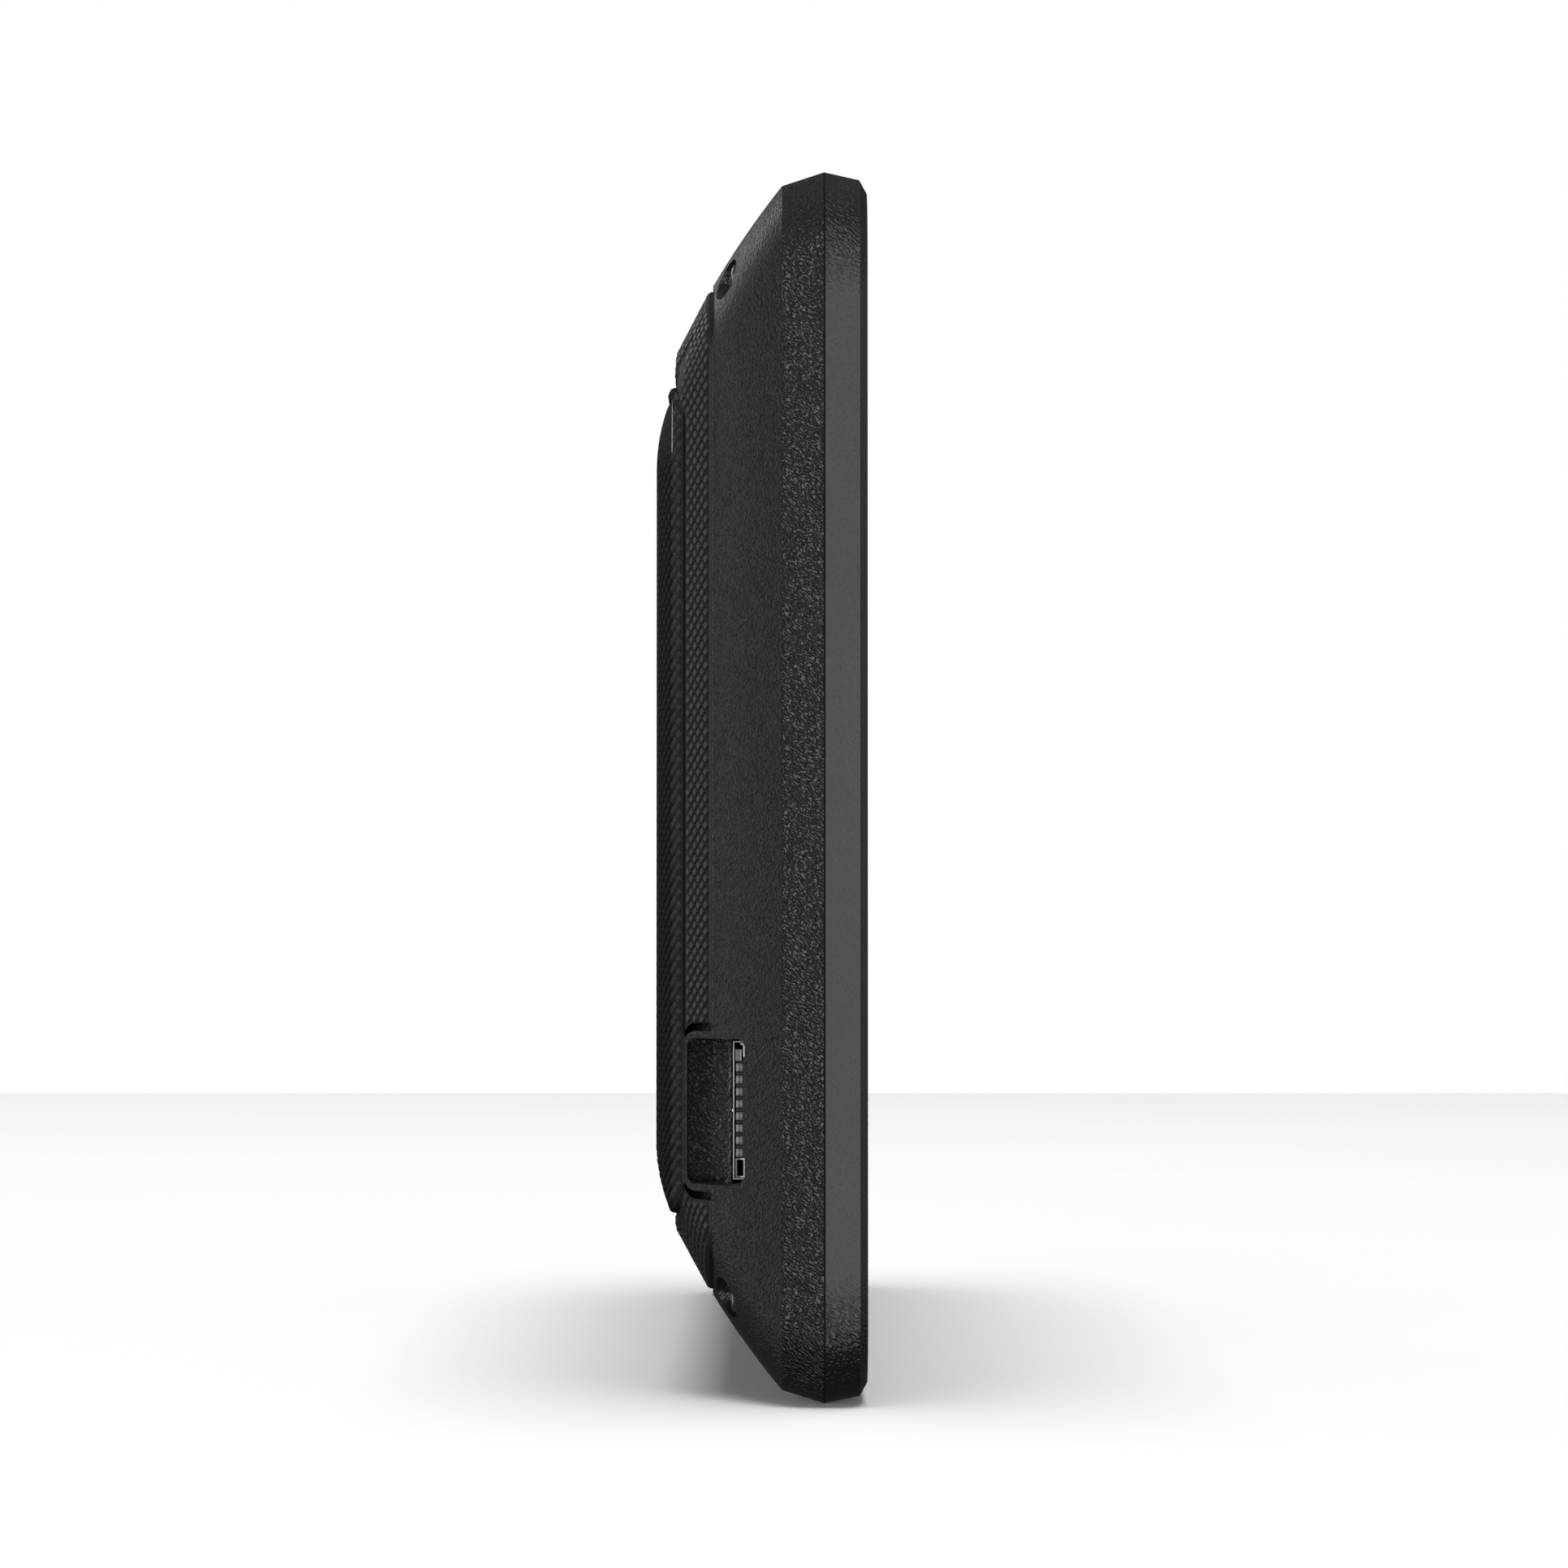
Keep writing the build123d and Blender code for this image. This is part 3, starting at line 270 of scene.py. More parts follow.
# name, degrees round, degrees up, metres away, width, height, watts
softbox("front_right_box", -26, -2, 1.6, 0.6, 1.2, 6.3)
softbox("pocket_box", -1, -1, 1.9, 0.62, 0.9, 3.5)
softbox("camera_side_box", 23, -2, 1.7, 0.6, 1.15, 11.0)
softbox("rear_left_box", 108, 0, 1.5, 0.8, 1.2, 2.2)
softbox("high_rear_box", 148, 18, 1.6, 0.5, 0.4, 1.0)
softbox("screen_side_box", -114, 8, 1.6, 0.9, 0.9, 0.75)
overhead_box = softbox("overhead_box", 0, 90, 2.6, 2.0, 1.7, 74)
overhead_box.visible_glossy = False
print("softboxes", len(bpy.data.lights))

# %% [markdown]
# ## The floor
# A plain pale table top. A flat plane is enough, since no part of it is read except
# its shadow. Its paint has a very faint mottle, so it isn't one flat colour.

# %% Floor
FLOOR_LEFT = -0.45
FLOOR_RIGHT = 0.95
FLOOR_SIDE = 0.45
TABLE_GLOW = 0.05
floor_z = cad_low.z
floor_mesh = bpy.data.meshes.new("floor")
corners = [
    (FLOOR_LEFT, -FLOOR_SIDE), (FLOOR_RIGHT, -FLOOR_SIDE),
    (FLOOR_RIGHT, FLOOR_SIDE), (FLOOR_LEFT, FLOOR_SIDE),
]
floor_mesh.from_pydata([(x, y, floor_z) for x, y in corners], [], [(0, 1, 2, 3)])
floor = bpy.data.objects.new("floor", floor_mesh)
scene.collection.objects.link(floor)
table = Finish("table_white")
mottle = table.cloud(0.08)
paint = table.tint(mottle, (0.90, 0.90, 0.90), (0.93, 0.93, 0.93))
floor_mesh.materials.append(table.close(
    Base_Color=paint, Roughness=0.9, Emission_Color=(1, 1, 1, 1), Emission_Strength=TABLE_GLOW))
floor.visible_diffuse = False
floor.visible_glossy = False
print("floor at", round(floor_z / MM, 2), "mm")

# %% [markdown]
# ## The moulded housing
# The rear shell is black plastic from a textured tool. Its side band has a coarse
# wrinkled grain of ridges that run aslant, and so has the floor of the card pocket,
# whose colour is painted lighter as painted light, standing in for light that reaches
# into the pocket. The sloped back has only a fine grain. The front bezel is
# nearly smooth, with some coarse grain left at its corners. One graph makes them
# all: noise on a turned and stretched place, where a zone function says how coarse
# each point is. A thin dark line marks the joint between bezel and housing.

# %% Housing grain
GRAIN_TURN = (math.radians(48), 0, 0)
FINE_TURN = (math.radians(-42), 0, 0)
GRAIN_DEPTH = 0.12 * MM
RIDGE_SIZE = 0.19 * MM
FINE_SIZE = 0.20 * MM
PATCH_SIZE = 6 * MM
PARTING = 0.06 * MM
PARTING_SOFT = 0.02 * MM
PARTING_DEPTH = 1.8


def grey(value, warm=0.0):
    """A grey; warm above 0 gives it more red and less blue."""
    return (value * (1 + warm), value, value * (1 - warm))


def within(axis, low, high, soft):
    """1 where a coordinate lies between two values."""
    return axis.above(low, soft) * (1 - axis.above(high, soft))


def grained_plastic(name, colours, rough, zones, seam_y, fine_share, painted_light_zone=None):
    """Black plastic: zones(finish) gives where its coarse grain shows, from 0 to 1, and the
    optional painted_light_zone(finish) gives where its colour is painted lighter as painted light.
    """
    finish = Finish(name)
    wander = finish.stretched(GRAIN_TURN, (1.0, 1.0, 0.42))
    ridges = finish.cloud(RIDGE_SIZE, 0.0, wander, 0.4, 0.1).above(0.5, 0.2)
    fine_place = finish.stretched(FINE_TURN, (1.0, 1.0, 0.55))
    fine = finish.cloud(FINE_SIZE, 1.0, fine_place, 0.4, 0.3)
    coarse = zones(finish)
    seam = within(finish.y, seam_y - PARTING, seam_y + PARTING, PARTING_SOFT)
    height = ridges * coarse + fine * fine_share * (1 - coarse * 0.6) - seam * PARTING_DEPTH
    patches = finish.cloud(PATCH_SIZE, 4.0)
    colour = finish.tint(patches * 0.7 + ridges * 0.3, *colours)
    # Painted light: inside the given zone the colour is painted a lighter grey, standing in for
    # light that reaches it.
    if painted_light_zone:
        colour = finish.layer(painted_light_zone(finish) * (0.7 + patches * 0.3), colour, grey(0.11))
    colour = finish.layer(seam * 0.9, colour, grey(0.002))
    gloss = rough + (patches - 0.5) * 0.08 + (fine - 0.5) * 0.06 + seam * 0.6
    bump = finish.bumps(height, GRAIN_DEPTH)
    return finish.close(Base_Color=colour, Roughness=gloss, Normal=bump, IOR=1.5)


housing_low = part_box("rear_housing")[0]
bezel_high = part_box("front_bezel")[1]
socket_low, socket_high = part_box("card_socket_shell")
BAND_DEEP = 3.77 * MM
BAND_SOFT = 0.12 * MM
POCKET_FLOOR_X = -69.0 * MM
POCKET_REACH = 1.0 * MM
POCKET_HALF = 6.4 * MM
WORN_FROM = 46.5 * MM
WORN_SOFT = 4.5 * MM
pocket_z = (socket_low.z + socket_high.z) / 2
band_top = housing_low.y + BAND_DEEP


def in_pocket(finish):
    """1 on the floor of the card pocket."""
    floor_low, floor_high = POCKET_FLOOR_X - POCKET_REACH, POCKET_FLOOR_X + POCKET_REACH
    near = within(finish.x, floor_low, floor_high, 0.1 * MM)
    return near * within(finish.z, pocket_z - POCKET_HALF, pocket_z + POCKET_HALF, 0.2 * MM)


def housing_zones(finish):
    """The side band and the pocket's floor are coarse, and the sloped back is fine."""
    band = 1 - finish.y.above(band_top, BAND_SOFT)
    pocket = in_pocket(finish)
    return band + pocket - band * pocket


def bezel_zones(finish):
    """The bezel's grain shows at its corners and has worn smooth between them."""
    return finish.z.size().above(WORN_FROM, WORN_SOFT) * 0.5 + 0.05


finishes = {}
finishes["housing_black"] = grained_plastic(
    "housing_black", (grey(0.014), grey(0.020)), 0.31, housing_zones, housing_low.y, 1.0,
    in_pocket)
finishes["bezel_black"] = grained_plastic(
    "bezel_black", (grey(0.015), grey(0.021)), 0.31, bezel_zones, housing_low.y, 0.10)
print("bezel ends at", round(bezel_high.y / MM, 2))
print("housing starts at", round(housing_low.y / MM, 2))
print("card socket", [round(v / MM, 2) for v in (*socket_low, *socket_high)])

# %% [markdown]
# ## Rubbers, metals, foams and the rest
# The inner pieces are mostly hidden, but each has its own finish, so that the parts
# can be used again on their own. Most come from one recipe with different numbers: a
# broad cloud for colour, a fine one for roughness, and a bump at the right size.

# %% A recipe for plain finishes
def plain_finish(name, low, high, rough, size, depth, metallic=0.0, stretch=(1, 1, 1), **more):
    """A finish with mottled colour, uneven gloss and a small even texture."""
    finish = Finish(name)
    place = finish.stretched((0, 0, 0), stretch)
    broad = finish.cloud(size * 12, 4.0)
    small = finish.cloud(size, 3.0, place)
    colour = finish.tint(broad * 0.6 + small * 0.4, low, high)
    gloss = rough + (broad - 0.5) * 0.16 + (small - 0.5) * 0.12
    bump = finish.bumps(small, depth)
    return finish.close(Base_Color=colour, Roughness=gloss, Metallic=metallic, Normal=bump, **more)


# name, darker and paler colour, roughness, grain and its depth in mm, metallic, stretch
RECIPES = [
    ("grip_rubber", grey(0.019), grey(0.028), 0.44, 0.12, 0.012, 0.0, (1, 1, 1)),
    # The groove rubber between the studs is the same rubber as the studs, painted darker as
    # painted shade in the grooves.
    ("grip_rubber_groove", grey(0.010), grey(0.016), 0.55, 0.12, 0.012, 0.0, (1, 1, 1)),
    ("gasket_foam", grey(0.03), grey(0.06), 0.9, 0.25, 0.05, 0.0, (1, 1, 1)),
    ("sheet_steel", grey(0.22), grey(0.32), 0.36, 0.06, 0.004, 1.0, (0.05, 1, 1)),
    ("dock_steel", grey(0.33), grey(0.43), 0.36, 0.05, 0.004, 1.0, (0.04, 1, 1)),
    ("screw_black", grey(0.24), grey(0.34), 0.24, 0.08, 0.006, 0.9, (1, 1, 1)),
    ("screw_steel", grey(0.45), grey(0.60), 0.30, 0.06, 0.004, 1.0, (1, 1, 1)),
    ("magnesium", grey(0.40), grey(0.50), 0.48, 0.15, 0.02, 0.9, (1, 1, 1)),
    ("brass_insert", (0.52, 0.36, 0.12), (0.66, 0.48, 0.18), 0.34, 0.06, 0.004, 1.0,
     (1, 1, 1)),
    ("chip_black", grey(0.018), grey(0.030), 0.55, 0.08, 0.008, 0.0, (1, 1, 1)),
    ("socket_plastic", grey(0.020), grey(0.034), 0.50, 0.10, 0.008, 0.0, (1, 1, 1)),
    ("contact_gold", grey(0.45, 0.05), grey(0.56, 0.05), 0.30, 0.05, 0.003, 1.0, (1, 1, 1)),
    ("ceramic", (0.50, 0.46, 0.38), (0.60, 0.56, 0.48), 0.60, 0.12, 0.01, 0.0, (1, 1, 1)),
    ("silver_patch", grey(0.62), grey(0.74), 0.34, 0.08, 0.004, 1.0, (1, 1, 1)),
    ("battery_foil", grey(0.42), grey(0.52), 0.40, 0.6, 0.03, 0.8, (1, 1, 1)),
    ("flex_amber", (0.42, 0.20, 0.05), (0.55, 0.28, 0.08), 0.36, 0.10, 0.006, 0.0, (1, 1, 1)),
    ("key_rubber", grey(0.014), grey(0.022), 0.50, 0.10, 0.008, 0.0, (1, 1, 1)),
    ("cone_paper", grey(0.03), grey(0.05), 0.75, 0.10, 0.02, 0.0, (1, 1, 1)),
]
DULL = {
    "pad_rubber": 0.34, "pad_rubber_groove": 0.24,
    "grip_rubber": 1.0, "grip_rubber_groove": 0.6,
}
for slot, low, high, rough, size, depth, metallic, stretch in RECIPES:
    shine = DULL.get(slot, 0.5)
    finishes[slot] = plain_finish(
        slot, low, high, rough, size * MM, depth * MM, metallic, stretch,
        Specular_IOR_Level=shine)
print("plain finishes", len(RECIPES))

# %% [markdown]
# ## Finishes with painted light along one edge
# Three small pieces are read by their edges. The pad's rubber is painted pale, with
# bright specks, along its left and right shoulders: painted light and painted glints
# where the shoulders catch the light. The badge is dark with one bright outer rim, a
# painted highlight. The card contacts are dull nickel with a bright edge at the
# socket's mouth, a painted highlight. In each, the place along one axis decides
# between two looks.

# %% Painted light on the pad rubber, badge and contacts
SHOULDER_LIT_WIDTH = 1.9 * MM
BADGE_HIGHLIGHT_WIDTH = 0.30 * MM
TAB_HIGHLIGHT_WIDTH = 0.20 * MM
pad_low, pad_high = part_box("grip_pad")
# Each pad finish pairs its own dark grey with a pale grey that is painted light on the shoulders.
# pad_rubber_groove is painted darker than pad_rubber, as painted shade between the studs.
for slot, dark, pale in (("pad_rubber", 0.014, 0.055), ("pad_rubber_groove", 0.008, 0.032)):
    worn = Finish(slot)
    # Painted light: the left and right shoulders are painted pale, and bright specks on them are
    # painted glints.
    lit_shoulder = worn.x.size().above(pad_high.x - SHOULDER_LIT_WIDTH, 0.25 * MM)
    painted_glints = worn.cloud(0.25 * MM, 3.0).above(0.66, 0.05)
    dust_and_light_mottle = worn.cloud(3 * MM, 4.0)
    rubber_colour = worn.tint(dust_and_light_mottle, grey(dark * 0.85), grey(dark * 1.2))
    painted_light_colour = worn.tint(painted_glints, grey(pale), grey(0.16))
    finishes[slot] = worn.close(
        Base_Color=worn.layer(lit_shoulder * (0.6 + dust_and_light_mottle * 0.4), rubber_colour, painted_light_colour),
        Roughness=0.58 + dust_and_light_mottle * 0.12, Specular_IOR_Level=DULL[slot],
        Normal=worn.bumps(dust_and_light_mottle, 0.02 * MM))

badge_low, badge_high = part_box("badge_plate")
badge = Finish("badge_satin")
# Painted highlight: the badge's outer rim is painted a bright grey over the dark satin, standing
# in for light caught by that edge.
painted_rim_highlight = 1 - badge.x.above(badge_low.x + BADGE_HIGHLIGHT_WIDTH, 0.04 * MM)
weave = badge.cells(0.62 * MM)
finishes["badge_satin"] = badge.close(
    Base_Color=badge.layer(painted_rim_highlight, badge.tint(weave, grey(0.010), grey(0.022)), grey(0.62)),
    Roughness=0.62 + weave * 0.1, Specular_IOR_Level=0.14,
    Normal=badge.bumps(weave, 0.12 * MM))

contacts_low, contacts_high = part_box("card_contacts")
tab_metal = Finish("contact_dark")
scuffs = tab_metal.cloud(0.12 * MM, 3.0)
# Painted highlight: a bright band of colour along the tabs' edge at the socket's mouth stands in
# for light caught there.
painted_edge_highlight = 1 - tab_metal.y.above(contacts_low.y + TAB_HIGHLIGHT_WIDTH, 0.03 * MM)
nickel = tab_metal.tint(scuffs, grey(0.10), grey(0.13))
finishes["contact_dark"] = tab_metal.close(
    Base_Color=tab_metal.layer(painted_edge_highlight, nickel, grey(0.42)), Metallic=1.0,
    Roughness=0.26 + scuffs * 0.12, Normal=tab_metal.bumps(scuffs, 0.004 * MM))
print("finishes so far", len(finishes))

# %% [markdown]
# ## Glass, display and circuit board
# The front is one sheet of black glass, printed round its edge and clear over the
# display. With the display off, the clear window is only a little lighter than the
# print, so the window is a rounded rectangle in the colour. Faint finger marks in
# the roughness keep it from looking like a mirror.

# %% Glass front
glass_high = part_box("cover_glass")[1]
PRINT_X = 9.2 * MM
PRINT_Z = 6.4 * MM
glass = Finish("screen_glass")
window_x = 1 - glass.x.size().above(glass_high.x - PRINT_X, 0.05 * MM)
window_z = 1 - glass.z.size().above(glass_high.z - PRINT_Z, 0.05 * MM)
window = window_x * window_z
smear = glass.cloud(14 * MM, 5.0, None, 0.6, 1.2)
dust = glass.cloud(0.9 * MM, 2.0)
print_colour = glass.tint(dust, grey(0.004), grey(0.007))
clear_colour = glass.tint(dust, (0.010, 0.011, 0.014), (0.014, 0.015, 0.019))
glass_colour = glass.layer(window, print_colour, clear_colour)
finishes["screen_glass"] = glass.close(
    Base_Color=glass_colour, Roughness=0.05 + smear.above(0.62, 0.2) * 0.10, IOR=1.52,
    Normal=glass.bumps(smear, 0.01 * MM))

display = Finish("display_dark")
ROW_WAVE = 2500.0
wave = {"Vector": display.place, "Scale": ROW_WAVE}
rows = display.node("ShaderNodeTexWave", wave, out=1, bands_direction="X")
finishes["display_dark"] = display.close(
    Base_Color=display.tint(rows, grey(0.008), grey(0.016)),
    Roughness=0.2 + display.cloud(9 * MM) * 0.1)

board = Finish("board_green")
tracks = board.cells(1.6 * MM, "DISTANCE_TO_EDGE").above(0.06, 0.015)
mask = board.cloud(0.5 * MM)
lacquer = board.tint(mask, (0.010, 0.050, 0.020), (0.014, 0.065, 0.028))
finishes["board_green"] = board.close(
    Base_Color=board.layer(tracks, (0.03, 0.10, 0.04), lacquer),
    Roughness=0.30 + mask * 0.15, Normal=board.bumps(1 - tracks, 0.02 * MM))
print("finishes", len(finishes))

# %% [markdown]
# ## Growing repeats with Geometry Nodes
# Studs, screws and contacts repeat hundreds or thousands of times. Copying objects
# would be slow and untidy, so a Geometry Nodes tree puts one small shape on each
# point of a mesh, turns it to the surface, makes the copies real and gives them a
# material. The result is read back as one plain mesh, which rides on one body.

# %% Tree and growing helpers
class Growth(Graph):
    """A Geometry Nodes tree with named inputs."""

    def __init__(self, name, inputs):
        super().__init__(bpy.data.node_groups.new(name, "GeometryNodeTree"))
        face = self.tree.interface
        face.new_socket("Points", in_out="INPUT", socket_type="NodeSocketGeometry")
        for title, kind in inputs.items():
            face.new_socket(title, in_out="INPUT", socket_type="NodeSocket" + kind)
        face.new_socket("Geometry", in_out="OUTPUT", socket_type="NodeSocketGeometry")
        taken = self.tree.nodes.new("NodeGroupInput")
        named = [socket for socket in taken.outputs if socket.name]
        self.given = {socket.name: Value(self, socket) for socket in named}

    def attribute(self, title):
        kind = "GeometryNodeInputNamedAttribute"
        return self.node(kind, {"Name": title}, data_type="FLOAT_VECTOR")

    def placed(self, shape):
        """The shape on every point, its z axis outwards and its x axis along the row."""
        align = "FunctionNodeAlignRotationToVector"
        upright = self.node(align, {"Vector": self.attribute("outwards")}, axis="Z")
        turned = {"Rotation": upright, "Vector": self.attribute("along")}
        turn = self.node(align, turned, axis="X", pivot_axis="Z")
        sockets = {"Points": self.given["Points"], "Instance": shape, "Rotation": turn}
        copies = self.node("GeometryNodeInstanceOnPoints", sockets)
        return self.node("GeometryNodeRealizeInstances", {"Geometry": copies})

    def ends_with(self, geometry):
        self.node("NodeGroupOutput", {"Geometry": geometry})


def point_mesh(name, places):
    """A mesh of loose points; each place is (point, outwards, along)."""
    mesh = bpy.data.meshes.new(name)
    mesh.from_pydata([place[0] for place in places], [], [])
    for index, title in ((1, "outwards"), (2, "along")):
        layer = mesh.attributes.new(title, "FLOAT_VECTOR", "POINT")
        layer.data.foreach_set("vector", [v for place in places for v in place[index]])
    return mesh


def grow(growth, mesh, name, settings):
    """Runs a tree on a mesh and keeps the result as a plain mesh object."""
    piece = bpy.data.objects.new(name, mesh)
    scene.collection.objects.link(piece)
    modifier = piece.modifiers.new("grow", "NODES")
    modifier.node_group = growth.tree
    for socket in growth.tree.interface.items_tree:
        if socket.name in settings:
            modifier[socket.identifier] = settings[socket.name]
    graph = bpy.context.evaluated_depsgraph_get()
    grown = bpy.data.meshes.new_from_object(piece.evaluated_get(graph), depsgraph=graph)
    piece.modifiers.remove(modifier)
    piece.data = grown
    grown.name = name
    return piece


print("growing helpers ready")

# %% [markdown]
# ## The grip's relief
# The rubber cover and pad carry rows of small diamond studs, each a low pyramid with
# its tip cut off, in staggered rows a little over a millimetre apart. A bump map would
# vanish at the outline, where the studs are seen best, so they are real shapes. The
# smooth rubber is first pressed in by a stud's height, so that the studs' tops come
# back to the CAD surface and the box doesn't grow.

# %% Stud sizes and the pressed-in skin
STUD_PITCH = 1.20 * MM
ROW_PITCH = 1.26 * MM
STUD_HEIGHT = 0.19 * MM
STUD_FOOT = 0.585 * MM
STUD_TOP = 0.36 * MM
STUD_ROOT = 0.03 * MM
ABOVE_BACK = cad_high.y + 5 * MM
SEAT_FACING = 0.98
OUT_FACING = 0.3
TIP_REACH = 0.30
TIP_FLATNESS = 0.09 * MM


def merged(node):
    """A CAD node's triangles as one closed bmesh."""
    shape = bmesh.new()
    shape.from_mesh(nodes[node].data)
    bmesh.ops.remove_doubles(shape, verts=shape.verts, dist=0.001 * MM)
    shape.normal_update()
    return shape


def pressed_in(shape, depth, flat_above):
    """Moves outward faces in by a depth, but not flat ones below flat_above."""
    moves = []
    for vertex in shape.verts:
        push = Vector()
        for face in vertex.link_faces:
            low_face = face.calc_center_median().y < flat_above
            flat_seat = face.normal.y > SEAT_FACING and low_face
            if face.normal.y > OUT_FACING and not flat_seat:
                push += face.normal * face.calc_area()
        if push.length > 0:
            moves.append((vertex, push.normalized() * depth))
    for vertex, move in moves:
        vertex.co -= move


def skin_object(shape, name, finish, sharp=math.radians(28)):
    """A bmesh as an object with smooth faces and sharp creases."""
    for face in shape.faces:
        face.smooth = True
    for edge in shape.edges:
        edge.smooth = len(edge.link_faces) == 2 and edge.calc_face_angle(0.0) < sharp
    mesh = bpy.data.meshes.new(name)
    shape.to_mesh(mesh)
    shape.free()
    mesh.materials.clear()
    mesh.materials.append(finish)
    made = bpy.data.objects.new(name, mesh)
    scene.collection.objects.link(made)
    return made


print("stud lattice", round(STUD_PITCH / MM, 2), "by", round(ROW_PITCH / MM, 2), "mm")

# %% Where the studs stand
def staggered(u_low, u_high, v_low, v_high):
    """Centres of staggered rows: every other row is moved by half a stud."""
    row = 0
    v = v_low
    while v <= v_high:
        u = u_low + (row % 2) * STUD_PITCH / 2
        while u <= u_high:
            yield u, v
            u += STUD_PITCH
        v += ROW_PITCH / 2
        row += 1


def studs_on(surface, spots, along, keep):
    """Stands a stud on each spot (x, z) whose four tips lie on the same face."""
    down = Vector((0, -1, 0))
    across = Vector((along[2], 0, along[0]))
    tips = [Vector(along) * STUD_PITCH, Vector(along) * -STUD_PITCH]
    tips += [across * ROW_PITCH, across * -ROW_PITCH]
    places = []
    for x, z in spots:
        point, outwards, _, _ = surface.ray_cast(Vector((x, ABOVE_BACK, z)), down)
        if point is None or not keep(point, outwards):
            continue
        whole = True
        for tip in tips:
            end = surface.ray_cast(Vector((x, ABOVE_BACK, z)) + tip * TIP_REACH, down)[0]
            level = end is not None and abs((end - point).dot(outwards)) < TIP_FLATNESS
            whole = whole and level
        if whole:
            root = point - outwards * (STUD_HEIGHT + STUD_ROOT)
            places.append((root, outwards, along))
    return places


cover_low, cover_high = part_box("grip_cover")
CHAMFER_RUN = 4.8 * MM
CHAMFER_RISE = 2.85 * MM
chamfer_length = math.hypot(CHAMFER_RUN, CHAMFER_RISE)
flatten = CHAMFER_RUN / chamfer_length
PLATEAU_Y = cover_high.y - 0.25 * MM
UP = (0.0, 0.0, 1.0)
SIDEWAYS = (1.0, 0.0, 0.0)


def plan_distance(v):
    """How far in from the cover's edge a point lies, after v along the slope."""
    return v * flatten if v < chamfer_length else CHAMFER_RUN + v - chamfer_length


def side_spots(edge_x, half_z, reach, first):
    """Spots (x, z) in rows along a left or right edge."""
    rows = staggered(-half_z, half_z, first, reach)
    return [(edge_x - math.copysign(plan_distance(v), edge_x), u) for u, v in rows]


def end_spots(edge_z, half_x, reach, first):
    """Spots (x, z) in rows along a top or bottom edge."""
    rows = staggered(-half_x, half_x, first, reach)
    return [(u, edge_z - math.copysign(plan_distance(v), edge_z)) for u, v in rows]


print("chamfer", round(chamfer_length / MM, 2), "mm along its slope")

# %% [markdown]
# ## Studs over the cover's chamfer
# The cover slopes up from its foot on all four sides. Each side gets its own rows,
# in line with its edge, and a corner belongs to the side that it faces more, so the
# rows meet on a neat mitre line. A ray from behind finds each stud's place and lean,
# and a stud that would hang over an edge, a slot or the pad's seat is left out.

# %% Cover studs
FIRST_ROW = 0.55 * MM
PLATEAU_REACH = 5 * MM
cover_shape = merged("grip_cover")
cover_surface = BVHTree.FromBMesh(cover_shape)


def on_side(point, outwards):
    return OUT_FACING < outwards.y < SEAT_FACING and abs(outwards.x) > abs(outwards.z)


def on_end(point, outwards):
    sloping = OUT_FACING < outwards.y < SEAT_FACING
    leaning = sloping and abs(outwards.z) >= abs(outwards.x)
    return leaning or (outwards.y >= SEAT_FACING and point.y > PLATEAU_Y)


cover_places = []
for edge in (cover_low, cover_high):
    spots = side_spots(edge.x, cover_high.z, chamfer_length, FIRST_ROW)
    cover_places += studs_on(cover_surface, spots, UP, on_side)
    spots = end_spots(edge.z, cover_high.x, chamfer_length + PLATEAU_REACH, FIRST_ROW)
    cover_places += studs_on(cover_surface, spots, SIDEWAYS, on_end)
print("cover studs", len(cover_places))

# %% [markdown]
# ## Studs over the domed pad
# The pad's face is nearly flat, so one field of rows covers it. Its left and right
# edges run on in line with the cover's chamfer and get two rows of their own. The
# ring of the dock and the sound holes stay clear.

# %% Pad studs
GRILLE_CLEAR = 8.2 * MM
SHOULDER = 1.75 * MM
SHOULDER_FIRST = 0.4 * MM
SHOULDER_OVERRUN = 2 * MM
DOME_FACING = 0.86
pad_shape = merged("grip_pad")
pad_surface = BVHTree.FromBMesh(pad_shape)
speaker_low, speaker_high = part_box("speaker_frame")
speaker = (speaker_low + speaker_high) / 2


def on_dome(point, outwards):
    from_speaker = math.hypot(point.x - speaker.x, point.z - speaker.z)
    inside = abs(point.x) < pad_high.x - SHOULDER
    return outwards.y > DOME_FACING and from_speaker > GRILLE_CLEAR and inside


def on_shoulder(point, outwards):
    return OUT_FACING < outwards.y and abs(point.x) > pad_high.x - SHOULDER


pad_spots = [(v, u) for u, v in staggered(pad_low.z, pad_high.z, pad_low.x, pad_high.x)]
pad_places = studs_on(pad_surface, pad_spots, UP, on_dome)
for edge in (pad_low, pad_high):
    half_z = pad_high.z + SHOULDER_OVERRUN
    spots = side_spots(edge.x, half_z, SHOULDER / flatten, SHOULDER_FIRST)
    pad_places += studs_on(pad_surface, spots, UP, on_shoulder)
print("pad studs", len(pad_places))

# %% [markdown]
# ## One tree for all the studs
# A cone with four sides and a flat top is a stud, and its corners already point along
# and across the rows, which gives the diamond look. The tree's inputs are the stud's
# radii and height, its rubber, and the pressed-in skin that is joined to the studs.

